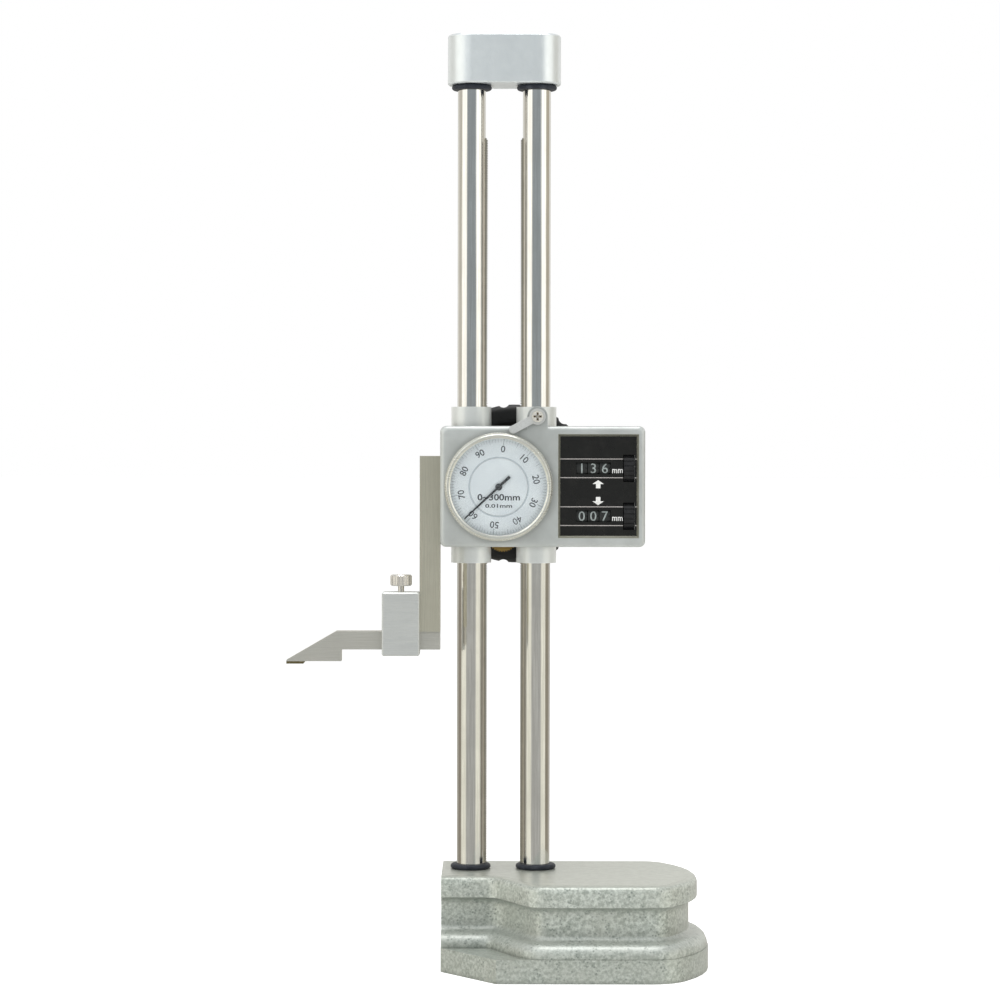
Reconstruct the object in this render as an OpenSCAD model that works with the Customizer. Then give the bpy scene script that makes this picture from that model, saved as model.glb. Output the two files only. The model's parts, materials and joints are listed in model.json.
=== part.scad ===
// Dial height gauge with two columns, a dial, two drum counters and a scriber.
// Frame: +Z up, +X to the right of the dial, the dial faces -Y.
// The origin is on the base's underside, midway between the columns.

/* [Columns] */
// Diameter of each column
column_d = 14; // [12:0.5:16]
// Distance between the column axes
column_pitch = 32.5; // [31.5:0.5:36]
// Measuring range, the travel of the carriage
travel = 300; // [150:10:450]
// Reading at which the carriage is drawn
rest_reading = 149; // [0:0.5:150]
// Free gap under the carriage at reading zero
low_gap = 1.25; // [1:0.25:10]
// Free gap above the carriage at full reading
high_gap = 7.2; // [1:0.1:15]
// Length of each column held in the base
column_seat = 30; // [20:1:34]
// Length of each column held in the bridge
bridge_seat = 16; // [10:1:18]

/* [Bumpers] */
// Outer diameter of the rubber rings at the column ends
bumper_d = 20; // [18:0.5:24]
// Height of the rubber rings
bumper_h = 2.5; // [1.5:0.25:5]

/* [Base] */
// Height of the base
base_h = 45.5; // [42:0.5:60]
// Distance from the origin to the flat end that faces the work
base_nose = 30.4; // [28:0.1:31]
// Distance from the origin to the rounded end of the lip
base_reach = 95.6; // [90:0.1:130]
// Lip line behind the columns
base_rear = 29; // [26:0.5:40]
// Lip line in front of the columns, along the nose
nose_front = 31; // [26:0.5:34]
// Lip line in front of the columns, along the hand rest
hand_front = 64; // [60:0.5:80]
// Where the nose starts to swell into the hand rest
swell_x = -9.8; // [-14:0.1:-6]
// Radius of the two bends of the swell
swell_r = 10; // [8:0.5:12]
// Radius of the rounded end
end_r = 70; // [66:1:90]
// Radius of the two corners beside the rounded end
corner_r = 14; // [10:0.5:20]
// How far the finger groove is cut in behind the lip
groove_in = 5; // [3:0.5:7]
// How far the lower flange stands out past the lip
flange_out = 5; // [3:0.5:6]
// Thickness of the bottom slab
slab_h = 11.5; // [9:0.5:14]
// How far the slab stands out past the flange
slab_step = 0.5; // [0.2:0.1:1]
// Where the slanted front corner of the slab ends
slab_corner_x = -3.3; // [-8:0.1:0]
// Radius of the flange shoulder
shoulder_r = 6; // [4:0.5:7]
// Radius of the groove's two hollows
hollow_r = 4; // [3:0.25:5]
// Thickness of the lip
lip_h = 10; // [8:0.5:12]
// Rounding of the lip's top edge
lip_round = 3; // [1:0.25:4]
// Depth of the relief pocket in the underside
relief_depth = 1.5; // [0.5:0.25:3]

/* [Bridge] */
// Width of the top bridge
bridge_w = 56.5; // [53:0.5:64]
// Depth of the top bridge
bridge_d = 27.4; // [24:0.2:34]
// Height of the top bridge
bridge_h = 24.8; // [21:0.2:30]

/* [Bolts] */
// Thread diameter of the column bolts
bolt_d = 6; // [5:0.5:7]
// Head diameter of the column bolts
bolt_head_d = 10; // [9:0.5:11]
// Head height of the column bolts
bolt_head_h = 6; // [4:0.5:7]

/* [Carriage] */
// Length of the sleeves that ride on the columns
sleeve_len = 77.75; // [74:0.25:90]
// Outer diameter of the sleeves
sleeve_d = 20; // [19.5:0.25:21.5]
// Wall of the sleeves round the bushes
sleeve_wall = 1.5; // [1.25:0.05:1.75]
// Length of each slide bush
bush_len = 9; // [6:0.5:10]
// Thickness of the carriage plate behind the housing
plate_t = 2.7; // [2:0.1:3]
// Thickness of the rear web between the sleeves
web_t = 4; // [3:0.25:5]

/* [Housing] */
// Width of the housing
housing_w = 100.4; // [98:0.2:112]
// Height of the housing
housing_h = 59.2; // [58:0.2:64]
// Distance from the origin to the housing's left side
housing_left = 31.2; // [31:0.1:32]
// Distance from the column axes to the housing's front face
housing_front = 33; // [33:0.5:40]
// Distance from the sleeves' lower ends to the housing
housing_rise = 8.75; // [7:0.25:10]
// Thickness of the housing's front wall
wall = 3; // [2.5:0.25:3.5]
// Thickness of the left wall that carries the jaw
jaw_wall = 6; // [5:0.5:7]
// Corner radius of the housing, seen from the front
housing_r = 3; // [1.5:0.25:4]
// Rounding of the housing's front edges
housing_round = 2.2; // [0.5:0.1:2.5]

/* [Dial] */
// Distance of the dial axis to the left of the origin
dial_left = 2.5; // [1.5:0.1:3]
// Height of the dial axis above the housing's lower side
dial_up = 29.4; // [29:0.1:30]
// Outer diameter of the bezel
bezel_d = 53; // [51:0.2:54]
// Visible width of the bezel
bezel_w = 2.8; // [1.8:0.1:3]
// Height of the bezel in front of the housing
bezel_h = 7; // [6:0.25:9]
// Wall of the bezel round the dial seat
bezel_wall = 3; // [2.4:0.1:4]
// Height of the dial seat
seat_h = 2.6; // [2:0.1:3]
// Thickness of the dial plate and of its fixed middle
dial_t = 0.8; // [0.5:0.1:1]
// Thickness of the crystal
crystal_t = 1.2; // [0.8:0.1:1.5]
// Pointer angle at rest, clockwise from the top
pointer_angle = 227; // [0:1:359]
// Gap between the pointer's tip and the dial's edge
pointer_short = 2.2; // [2:0.1:6]
// Length of the pointer's tail
pointer_tail = 7.4; // [5:0.2:9]

/* [Bezel clamp] */
// Distance of the clamp screw to the right of the origin
clamp_x = 16.4; // [14:0.1:18]
// Height of the clamp screw above the housing
clamp_up = 4.6; // [4:0.1:6]
// Radius of the clamp lug
lug_r = 5; // [4:0.25:5.5]
// Thickness of the clamp arm
arm_t = 1.6; // [1:0.1:2]
// Width of the clamp arm
arm_w = 4; // [3:0.25:5]

/* [Counters] */
// Distance of the panel's left edge to the right of the origin
panel_x = 26.5; // [26:0.1:28]
// Width of the housing to the right of the panel
panel_edge = 3.1; // [3:0.1:4]
// Height of the counter panel
panel_h = 50.9; // [49:0.1:51.5]
// Thickness of the counter panel
panel_t = 1.2; // [1:0.1:1.4]
// Depth of the panel's front below the housing's front
panel_sink = 1.5; // [1.2:0.1:1.6]
// Height of the opening in front of the digits
sight_h = 5.8; // [5:0.1:7]
// Height of each counter channel in the panel
channel_h = 8.8; // [8:0.2:10]
// Depth of each counter channel
channel_depth = 0.6; // [0.3:0.1:0.8]
// Distance between the two counter axes
counter_pitch = 23.4; // [22.6:0.1:25]
// Diameter of the digit drums
drum_d = 17.2; // [14:0.2:17.4]
// Diameter of the counter shafts
counter_shaft_d = 3; // [2.5:0.1:4]
// How far the reset wheels stand out of the panel
reset_proud = 0.8; // [0.4:0.1:1]

/* [Feed] */
// Height of the handwheel axis above the housing's lower side
feed_up = 30.6; // [29:0.1:31.5]
// Diameter of the handwheel
wheel_d = 80; // [60:1:81]
// Width of the handwheel's rim
wheel_w = 11; // [8:0.5:16]
// Gap between the carriage and the handwheel
wheel_gap = 5; // [4:0.5:10]
// Number of finger scallops round the handwheel
wheel_scallops = 24; // [12:1:36]
// Diameter of the feed shaft
feed_shaft_d = 5; // [4:0.25:5.5]
// Length of the flange bush that carries the feed shaft
feed_bush_len = 8; // [6:0.5:9]

/* [Racks and gears] */
// Tooth pitch of both racks
rack_pitch = 1.25; // [1.2:0.01:1.3]
// How far the racks stand out of the columns
rack_proud = 1; // [0.9:0.05:1.2]
// Width of the racks
rack_w = 4; // [3:0.25:4.5]
// Length of plain column above the racks
rack_stop = 26.5; // [15:0.5:40]
// Module of the dial train
train_module = 0.35; // [0.34:0.005:0.36]
// Face width of the gears that run on the racks
rack_gear_w = 4; // [3:0.25:5]
// Face width of the train's gears
train_gear_w = 1.5; // [1:0.1:2]
// Diameter of the arbors
arbor_d = 2; // [1.6:0.1:2.2]

/* [Jaw and scriber] */
// Width of the jaw bar, seen from the front
jaw_w = 10.1; // [9.5:0.1:12]
// Depth of the jaw bar
jaw_d = 12; // [11:0.5:14]
// Distance from the column axes to the middle of the jaw
jaw_front = 20; // [18.5:0.5:21]
// Height of the jaw bar's top above the housing's lower side
jaw_top = 44.5; // [40:0.5:50]
// Distance of the jaw's underside below the sleeves
jaw_drop = 33; // [32:0.25:33]
// Height of the jaw's nose over the scriber
nose_h = 14; // [12:0.5:16]
// Width and height of the scriber bar
scriber_bar = 9; // [8:0.25:9.5]
// Length of the scriber's full bar
scriber_body = 48.6; // [46:0.2:52]
// Length of the scriber's thin end
scriber_beak = 27; // [24:0.2:34]
// Length of the slope above the beak
scriber_slope = 24.5; // [22:0.5:30]
// Depth of the beak's underside below the bar
beak_drop = 5.8; // [4:0.1:5.8]
// Thickness of the beak at its end
beak_end = 0.6; // [0.4:0.1:1]
// Thickness of the carbide tip
tip_t = 1.2; // [0.8:0.1:1.2]
// Length of the carbide tip
tip_len = 9.4; // [6:0.2:12]
// Length of the clamp box along the scriber
box_len = 18.5; // [16:0.5:20]
// Wall of the clamp box
box_wall = 3; // [2.5:0.1:4]
// Free height over the nose in the clamp box
box_gap = 2.2; // [1.5:0.1:4]
// Diameter of the clamp screw's head
clamp_head_d = 10.7; // [8:0.1:12]
// Height of the clamp screw's head
clamp_head_h = 5.5; // [4:0.25:8]
// Free shank of the clamp screw under its head
clamp_neck = 3; // [1.5:0.25:5]
// Thread diameter of the clamp screw
clamp_screw_d = 3; // [2.5:0.25:4]

/* [Fits] */
// Radial running clearance of shafts, drums and slide bushes
run_fit = 0.05; // [0.03:0.005:0.08]
// Clearance between pieces that only pass each other
free_gap = 0.4; // [0.3:0.05:0.6]
// Shortening of every tooth for backlash
backlash = 0.1; // [0.06:0.01:0.14]

/* [Hidden] */
$fn = 64;
// Slack that lets one cut run past the face it opens
past = 1;

// Heights of the fixed frame
carriage_z = base_h + bumper_h + low_gap + rest_reading;
bridge_z = base_h + bumper_h + low_gap + travel + sleeve_len + high_gap + bumper_h;
column_bottom = base_h - column_seat;
column_top = bridge_z + bridge_seat;
column_x = column_pitch / 2;
// The bridge's ends are almost half round
bridge_r = 0.45 * bridge_d;
bolt_grip = 12;
bolt_sink = 0.2;

// Plan of the base
swell_slant = 28;
swell_end_x = swell_x + 2 * swell_r * cos(swell_slant)
    + (hand_front - nose_front - 2 * swell_r * (1 - sin(swell_slant))) * tan(swell_slant);
base_mid_y = (base_rear - hand_front) / 2;
end_x = base_reach - end_r;
corner_angle = asin(((base_rear + hand_front) / 2 - corner_r) / (end_r - corner_r));
corner_x = end_x + (end_r - corner_r) * cos(corner_angle);
slab_grow = flange_out + slab_step;
lip_z = base_h - lip_h;
rim_w = 3;
pad_step = 0.05;

// Tooth counts, which give one turn of the pointer for each millimetre of travel
measuring_teeth = 40;
rack_pinion_teeth = 16;
first_wheel_teeth = 60;
second_wheel_teeth = 48;
train_pinion_teeth = 12;

// Racks and the gears that run on them
rack_module = rack_pitch / PI;
addendum = 0.6;
dedendum = 0.85;
pressure_angle = 20;
rack_groove = 1.5;
rack_z = base_h + bumper_h + free_gap;
rack_top = bridge_z - rack_stop;
rack_teeth = floor((rack_top - rack_z) / rack_pitch);
rack_tip_x = column_x - column_d / 2 - rack_proud;
rack_line_x = rack_tip_x + addendum * rack_module;

// Places on the carriage
housing_z = carriage_z + housing_rise;
housing_mid_x = housing_w / 2 - housing_left;
housing_mid_z = housing_z + housing_h / 2;
housing_right = housing_w - housing_left;
plate_y = -7.5;
plate_front = plate_y - plate_t;
web_y = 6;
front_y = -housing_front;
dial_pos = [-dial_left, housing_z + dial_up];
clamp_pos = [clamp_x, housing_z + housing_h + clamp_up];
clamp_d = 3;
housing_screw_d = 3;
housing_screw_head_d = 5.4;
housing_screw_head_h = 2.4;
housing_screw_grip = 5;
housing_screw_len = plate_t + housing_screw_grip;
housing_screw_in = 3;
housing_screw_spots = [for (x = [-housing_left, housing_right], z = [0, housing_h])
    [x - sign(x) * housing_screw_in, housing_z + z + (z > 0 ? -1 : 1) * housing_screw_in]];

// Dial train, as centres seen from the front
function gear_radius(teeth, mod) = teeth * mod / 2;
function polar(r, a) = r * [cos(a), sin(a)];
function heading(v) = atan2(v[1], v[0]);
function third_point(a, b, ra, rb) =
    let (d = norm(b - a), t = acos((ra * ra + d * d - rb * rb) / (2 * ra * d)))
    a + polar(ra, heading(b - a) - t);
measuring_up = 4.8;
measuring_r = gear_radius(measuring_teeth, rack_module);
measuring_tip_r = measuring_r + addendum * rack_module;
feed_r = gear_radius(rack_pinion_teeth, rack_module);
measuring_pos = [measuring_r - rack_line_x, housing_z + measuring_up];
feed_pos = [rack_line_x - feed_r, housing_z + feed_up];
first_pos = measuring_pos + polar(measuring_r + feed_r, 80);
first_second = gear_radius(first_wheel_teeth + train_pinion_teeth, train_module);
second_pointer = gear_radius(second_wheel_teeth + train_pinion_teeth, train_module);
second_pos = third_point(first_pos, dial_pos, first_second, second_pointer);

// Angle of a gear whose tooth fits a gap of the gear that drives it
function mesh_angle(from, from_teeth, from_angle, to, to_teeth) =
    let (line = heading(to - from))
    line + 180 - 360 / to_teeth * (0.5 - (line - from_angle) * from_teeth / 360);
// Angle of a gear at a rack's tooth, on the rack's left or right
function rack_angle(pos, teeth, r, side) =
    let (rise = rack_z + rack_pitch / 2 - pos[1])
    (side > 0 ? 180 : 0) - side * rise / r * 180 / PI - 180 / teeth;
measuring_angle = rack_angle(measuring_pos, measuring_teeth, measuring_r, 1);
feed_angle = rack_angle(feed_pos, rack_pinion_teeth, feed_r, -1);
first_angle = mesh_angle(measuring_pos, measuring_teeth, measuring_angle, first_pos, rack_pinion_teeth);
second_angle = mesh_angle(first_pos, first_wheel_teeth, first_angle, second_pos, train_pinion_teeth);
last_angle = mesh_angle(second_pos, second_wheel_teeth, second_angle, dial_pos, train_pinion_teeth);

// Depths of the train, from the carriage plate to the front
first_wheel_y = plate_front - 1.3 - train_gear_w;
second_wheel_y = first_wheel_y - 1.5 - train_gear_w;
pinion_spare = 0.3;
bridge_plate_t = 2;
bridge_plate_y = second_wheel_y - 2 - bridge_plate_t;
bridge_plate_right = 0.5;
bridge_plate_up = 25.75;
bridge_plate_pos = [bridge_plate_right, housing_z + bridge_plate_up];
bridge_plate_d = 41;
bridge_post_d = 3.6;
bridge_post_r = 17.8;
bridge_post_angles = [195, -36, 85];

// Depths of the dial, measured forward from the housing
skirt_gap = 0.2;
dial_floor = seat_h + 0.1;
pointer_rise = dial_floor + dial_t + 0.5;
pointer_t = 0.4;
bezel_lip = 0.8;
bezel_skirt = 1.5;
dial_r = bezel_d / 2 - bezel_skirt;
centre_r = dial_r * 0.556;
pointer_len = dial_r - pointer_short;
bezel_open_r = bezel_d / 2 - bezel_w;
seat_d = bezel_d - 2 * bezel_wall;
seat_wall = 3.5;
seat_open_d = seat_d - 2 * seat_wall;
stem_d = 6;

// Counters
panel_w = housing_right - panel_edge - panel_x;
panel_up = 0.25;
panel_mid_z = housing_z + housing_h / 2 + panel_up;
panel_front = front_y + panel_sink;
panel_ledge = 1.5;
counter_back = panel_t + 0.3 + drum_d / 2;
counter_y = panel_front + counter_back;
reset_d = 2 * (counter_back + reset_proud);
counter_down = 3;
counter_mid_z = panel_mid_z - counter_down;
counter_z = [counter_mid_z - counter_pitch / 2, counter_mid_z + counter_pitch / 2];
digit_pitch = panel_w / 7;
digit_x = panel_x + panel_w * 0.295;
drum_w = digit_pitch - free_gap;
reset_w = panel_w / 8;
reset_side_gap = 0.25;
screw_post_x = housing_right - housing_screw_in - 0.75 * housing_screw_d;
reset_x = screw_post_x - reset_side_gap - reset_w / 2;
cheek_t = 1.2;
cheek_left = digit_x - drum_w / 2 - free_gap - cheek_t;
cheek_right = reset_x - reset_w / 2 - free_gap - cheek_t;
bracket_back_t = 1.8;
drum_hub_out = 0.15;

// Feed
feed_bush_d = feed_shaft_d + 3;
wheel_y = sleeve_d / 2 + wheel_gap;

// Jaw and scriber
jaw_right = -housing_left;
jaw_left = jaw_right - jaw_w;
jaw_under = carriage_z - jaw_drop;
jaw_y = -jaw_front;
scriber_under = jaw_under - scriber_bar;
beak_under = scriber_under - beak_drop;
scriber_end = jaw_right - scriber_body - scriber_beak;
box_top = jaw_under + nose_h + box_gap + box_wall;
box_mid_x = jaw_left - box_len / 2;
box_fit = 0.1;
jaw_screw_d = 4;
jaw_screw_head_d = 7;
jaw_screw_head_h = 4;
jaw_screw_z = [housing_z + 10, housing_z + 36];

// Circle arc as points
function arc(c, r, a0, a1, n) = [for (i = [0 : n]) c + polar(r, a0 + (a1 - a0) * i / n)];
// Points without any that repeats the one before it
function distinct(points) = [for (i = [0 : len(points) - 1])
    if (i == 0 || norm(points[i] - points[i - 1]) > 0.001) points[i]];

// Outline of the base, grown outward from the lip line, with the nose end moved in if asked
function base_round_end(grow, nose_in = 0) = distinct(concat(
    arc([corner_x, corner_r - hand_front], corner_r + grow, 270, 360 - corner_angle, 5),
    arc([end_x, base_mid_y], end_r + grow, -corner_angle, corner_angle, 9),
    arc([corner_x, base_rear - corner_r], corner_r + grow, corner_angle, 90, 5),
    [[nose_in - base_nose, base_rear + grow]]));
function base_ring(grow, nose_in = 0) = concat(
    [[nose_in - base_nose, -nose_front - grow]],
    arc([swell_x, -nose_front - swell_r], swell_r - grow, 90, swell_slant, 6),
    arc([swell_end_x, swell_r - hand_front], swell_r + grow, 180 + swell_slant, 270, 6),
    base_round_end(grow, nose_in));

// Side profile of the base above its slab, as [grow, height]
function base_profile() = distinct(concat(
    [[flange_out, slab_h - past]],
    arc([flange_out - shoulder_r, slab_h + 1], shoulder_r, 0, 90, 6),
    arc([hollow_r - groove_in, slab_h + 1 + shoulder_r + hollow_r], hollow_r, 270, 180, 4),
    arc([hollow_r - groove_in, lip_z - 0.5 - hollow_r], hollow_r, 180, 90, 4),
    [[0, lip_z]],
    arc([-lip_round, base_h - pad_step - lip_round], lip_round, 0, 90, 4)));
function ring_at(height, ring) = [for (p = ring) [p[0], p[1], height]];

// Flat shape drawn in X and Z, made solid between two depths
module slab_y(y0, y1) {
    translate([0, y1, 0]) rotate([90, 0, 0]) linear_extrude(y1 - y0) children();
}
module rod_y(pos, d, y0, y1) {
    slab_y(y0, y1) translate(pos) circle(d = d);
}
module rod_x(x0, x1, y, z, d) {
    translate([x0, y, z]) rotate([0, 90, 0]) cylinder(d = d, h = x1 - x0);
}
// Rectangle with round corners, centred
module round_rect(w, h, r) {
    square([w - 2 * r, h], center = true);
    square([w, h - 2 * r], center = true);
    for (x = [-1, 1], y = [-1, 1])
        translate([x * (w / 2 - r), y * (h / 2 - r)]) circle(r = r);
}
// Block with round corners and softened edges at its top, and at its bottom if asked
module soft_block(w, h, depth, r, edge, low_edge = 0) {
    hull() {
        translate([0, 0, low_edge])
            linear_extrude(depth - edge - low_edge) round_rect(w, h, r, $fn = 32);
        for (a = [30, 60, 90]) {
            inset = max(low_edge, edge * (1 - cos(a)));
            linear_extrude(depth - edge + edge * sin(a))
                round_rect(w - 2 * inset, h - 2 * inset, r, $fn = 32);
        }
    }
}
// Cap screw along Z with its head at the top and a hexagon socket
module cap_screw(d, len, head_d, head_h) {
    translate([0, 0, -len]) cylinder(d = d, h = len);
    difference() {
        cylinder(d = head_d, h = head_h);
        translate([0, 0, head_h / 2]) cylinder(d = head_d * 0.6, h = head_h, $fn = 6);
    }
}

// Involute gear outline with one tooth centred on +X
function involute(a) = tan(a) * 180 / PI - a;
module gear_outline(teeth, mod) {
    r = gear_radius(teeth, mod);
    r_base = r * cos(pressure_angle);
    r_tip = r + addendum * mod;
    r_root = r - dedendum * mod;
    half = 90 / teeth - backlash / 4 / r * 180 / PI + involute(pressure_angle);
    low = max(r_base, r_root);
    flank = [for (i = [0 : 3])
        let (q = low + (r_tip - low) * i / 3)
        [q, half - involute(acos(r_base / q))]];
    polygon([for (k = [0 : teeth - 1]) let (c = 360 * k / teeth)
        each concat(
            [polar(r_root, c - flank[0][1])],
            [for (f = flank) polar(f[0], c - f[1])],
            [for (i = [3 : -1 : 0]) polar(flank[i][0], c + flank[i][1])],
            [polar(r_root, c + flank[0][1])])]);
}
module gear(pos, teeth, mod, angle, y0, y1) {
    slab_y(y0, y1) translate(pos) rotate(angle) gear_outline(teeth, mod);
}

module base_casting() {
    color("#a9aea8") difference() {
        union() {
            base_rim();
            // The middle sits slightly off the rim's own corners, so that no two edges coincide
            translate([rim_w / 8, rim_w / 12, 2 * past]) linear_extrude(base_h - 2 * past)
                polygon(base_ring(-lip_round - rim_w / 2, rim_w / 2));
            linear_extrude(slab_h) polygon(concat(
                [[-base_nose, -nose_front - slab_grow], [slab_corner_x, -hand_front - slab_grow]],
                base_round_end(slab_grow)));
        }
        for (x = [-column_x, column_x]) translate([x, 0, 0]) {
            translate([0, 0, column_bottom]) cylinder(d = column_d, h = column_seat + past);
            translate([0, 0, -past]) cylinder(d = bolt_d + 2 * free_gap, h = base_h);
            translate([0, 0, -past]) cylinder(d = bolt_head_d + 2 * free_gap, h = bolt_head_h + 2 * past);
        }
        translate([(base_reach + column_x) / 2 + bolt_head_d / 2, base_mid_y, -past])
            linear_extrude(relief_depth + past)
                round_rect(base_reach - column_x - 3 * bolt_head_d, hand_front, corner_r);
    }
}
// Swept rim of the base: lip, finger groove and flange, round an open middle
module base_rim() {
    inner = base_ring(-lip_round - rim_w, rim_w);
    rings = concat(
        [for (p = base_profile()) ring_at(p[1], base_ring(p[0]))],
        [ring_at(base_h - pad_step, inner), ring_at(slab_h - past, inner)]);
    rows = len(rings);
    n = len(inner);
    sides = [for (i = [0 : rows - 1], j = [0 : n - 1])
        let (a = i * n + j, b = i * n + (j + 1) % n, up = (i + 1) % rows * n)
        each [[a, up + j, up + (j + 1) % n], [a, up + (j + 1) % n, b]]];
    polyhedron([for (r = rings) each r], sides);
}

// Column with its rack groove on the side given by inner, -1 or 1
module column(inner) {
    color("#d8d8d6") difference() {
        translate([-inner * column_x, 0, column_bottom])
            cylinder(d = column_d, h = column_top - column_bottom);
        translate([-inner * (column_x - column_d / 2), 0, (rack_z + rack_top) / 2])
            cube([2 * rack_groove, rack_w, rack_top - rack_z], center = true);
        for (z = [column_bottom, column_top]) translate([-inner * column_x, 0, z])
            cylinder(d = bolt_d, h = 2 * (bolt_grip + past), center = true);
    }
}
module column_left() { column(1); }
module column_right() { column(-1); }

// Toothed rack, drawn for the left column and mirrored for the right one
module rack() {
    half = rack_pitch / 4 - backlash / 4;
    lean = tan(pressure_angle);
    root_x = -rack_line_x - dedendum * rack_module;
    tip_x = -rack_tip_x;
    back_x = -column_x + column_d / 2 - rack_groove;
    teeth = [for (k = [0 : rack_teeth - 1]) let (z = rack_z + (k + 0.5) * rack_pitch)
        each [
            [root_x, z - half - dedendum * rack_module * lean],
            [tip_x, z - half + addendum * rack_module * lean],
            [tip_x, z + half - addendum * rack_module * lean],
            [root_x, z + half + dedendum * rack_module * lean]]];
    slab_y(-rack_w / 2, rack_w / 2) polygon(concat(
        [[back_x, rack_z], [root_x, rack_z]], teeth, [[root_x, rack_top], [back_x, rack_top]]));
}
module measuring_rack() { color("#b9b3a2") rack(); }
module feed_rack() { color("#b9b3a2") mirror([1, 0, 0]) rack(); }

module base_bolts() {
    color("#3a3a3c") for (x = [-column_x, column_x])
        translate([x, 0, bolt_head_h + past]) rotate([180, 0, 0])
            cap_screw(bolt_d, column_bottom - bolt_head_h - past + bolt_grip, bolt_head_d, bolt_head_h);
}
module bridge_bolts() {
    color("#3a3a3c") for (x = [-column_x, column_x])
        translate([x, 0, bridge_z + bridge_h - bolt_head_h - bolt_sink])
            cap_screw(bolt_d, bridge_h - bridge_seat - bolt_head_h - bolt_sink + bolt_grip,
                bolt_head_d, bolt_head_h);
}
// Rubber ring with a rounded outer edge
module bumper() {
    rotate_extrude() difference() {
        union() {
            translate([column_d / 2, 0]) square([(bumper_d - column_d - bumper_h) / 2, bumper_h]);
            translate([(bumper_d - bumper_h) / 2, bumper_h / 2]) circle(d = bumper_h);
        }
        square([column_d, 2 * bumper_h + bumper_d], center = true);
    }
}
module lower_bumpers() {
    color("#1d2126") for (x = [-column_x, column_x]) translate([x, 0, base_h]) bumper();
}
module upper_bumpers() {
    color("#1d2126") for (x = [-column_x, column_x]) translate([x, 0, bridge_z - bumper_h]) bumper();
}
module top_bridge() {
    color("#c4c8cc") difference() {
        translate([0, 0, bridge_z]) soft_block(bridge_w, bridge_d, bridge_h, bridge_r, 1, 0.6);
        for (x = [-column_x, column_x]) translate([x, 0, bridge_z]) {
            translate([0, 0, -past]) cylinder(d = column_d, h = bridge_seat + past);
            cylinder(d = bolt_d + 2 * free_gap, h = bridge_h);
            translate([0, 0, bridge_h - bolt_head_h - bolt_sink])
                cylinder(d = bolt_head_d + 2 * free_gap, h = bolt_head_h + past);
        }
    }
}

// Sleeves, carriage plate and rear web in one casting
module slider_frame() {
    web_low = housing_z + 3;
    web_high = housing_z + housing_h - 3;
    sleeve_bore = sleeve_d - 2 * sleeve_wall;
    color("#c3c6c6") difference() {
        union() {
            for (x = [-column_x, column_x])
                translate([x, 0, carriage_z]) cylinder(d = sleeve_d, h = sleeve_len);
            slab_y(plate_front, plate_y) translate([housing_mid_x, housing_mid_z])
                round_rect(housing_w, housing_h, housing_r);
            translate([-column_x, web_y, web_low]) cube([column_pitch, web_t, web_high - web_low]);
        }
        for (x = [-column_x, column_x])
            translate([x, 0, carriage_z - past]) cylinder(d = sleeve_bore, h = sleeve_len + 2 * past);
        translate([-rack_tip_x - 3, plate_y, housing_z])
            cube([2 * rack_tip_x + 6, web_y - plate_y, housing_h]);
        for (pos = [measuring_pos, first_pos])
            rod_y(pos, arbor_d + 2 * run_fit, plate_front - past, web_y + web_t + past);
        for (pos = [second_pos, dial_pos])
            rod_y(pos, arbor_d + 2 * run_fit, plate_front - past, plate_y + past);
        rod_y(measuring_pos, 2 * (measuring_tip_r + free_gap),
            -rack_gear_w / 2 - free_gap, rack_gear_w / 2 + free_gap);
        rod_y(feed_pos, feed_shaft_d + 2 * run_fit, plate_front - past, plate_y + past);
        rod_y(feed_pos, feed_bush_d, web_y - past, web_y + web_t + past);
        for (pos = housing_screw_spots) rod_y(pos, housing_screw_d, plate_front - past, plate_y + past);
    }
}

// Split bushes at both ends of each sleeve, open where the rack passes
module slide_bushes() {
    bush_d = sleeve_d - 2 * sleeve_wall;
    color("#b08d57") for (side = [-1, 1], z = [carriage_z, carriage_z + sleeve_len - bush_len])
        translate([side * column_x, 0, z]) difference() {
            cylinder(d = bush_d, h = bush_len);
            translate([0, 0, -past]) cylinder(d = column_d + 2 * run_fit, h = bush_len + 2 * past);
            translate([-side * bush_d / 2, 0, bush_len / 2])
                cube([bush_d, rack_w + 2 * free_gap, bush_len + 2 * past], center = true);
        }
}

// Front casting with the dial seat, the counter window and the clamp lug
module housing() {
    inner_y = front_y + wall;
    cavity_low = housing_z + wall;
    cavity_h = housing_h - 2 * wall;
    movement_left = -housing_left + jaw_wall;
    counter_low = housing_z + wall - 0.8;
    counter_high = panel_mid_z + panel_h / 2 - panel_ledge;
    color("#c9cccc") difference() {
        union() {
            translate([housing_mid_x, plate_front, housing_mid_z]) rotate([90, 0, 0])
                soft_block(housing_w, housing_h, plate_front - front_y, housing_r, housing_round);
            rod_y(dial_pos, seat_d, front_y - seat_h, inner_y);
            slab_y(front_y, front_y + 2 * lug_r) {
                translate(clamp_pos) circle(r = lug_r);
                translate([clamp_x - lug_r, housing_z + housing_h - wall])
                    square([2 * lug_r, clamp_up + wall]);
            }
        }
        rod_y(dial_pos, seat_open_d, front_y - seat_h - past, inner_y + past);
        translate([movement_left, inner_y, cavity_low])
            cube([panel_x - 4 - movement_left, plate_front - inner_y + past, cavity_h]);
        translate([panel_x, front_y - past, panel_mid_z - panel_h / 2])
            cube([panel_w, past + panel_sink + panel_t, panel_h]);
        translate([panel_x + panel_ledge, panel_front, counter_low])
            cube([screw_post_x - panel_x - panel_ledge, housing_front, counter_high - counter_low]);
        for (pos = housing_screw_spots)
            rod_y(pos, housing_screw_d, plate_y - housing_screw_len - free_gap, plate_front + past);
        rod_y(clamp_pos, clamp_d, front_y - past, front_y + 2 * lug_r + past);
        for (z = jaw_screw_z) rod_x(-housing_left - past, movement_left + past, jaw_y, z, jaw_screw_d);
    }
}
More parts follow.
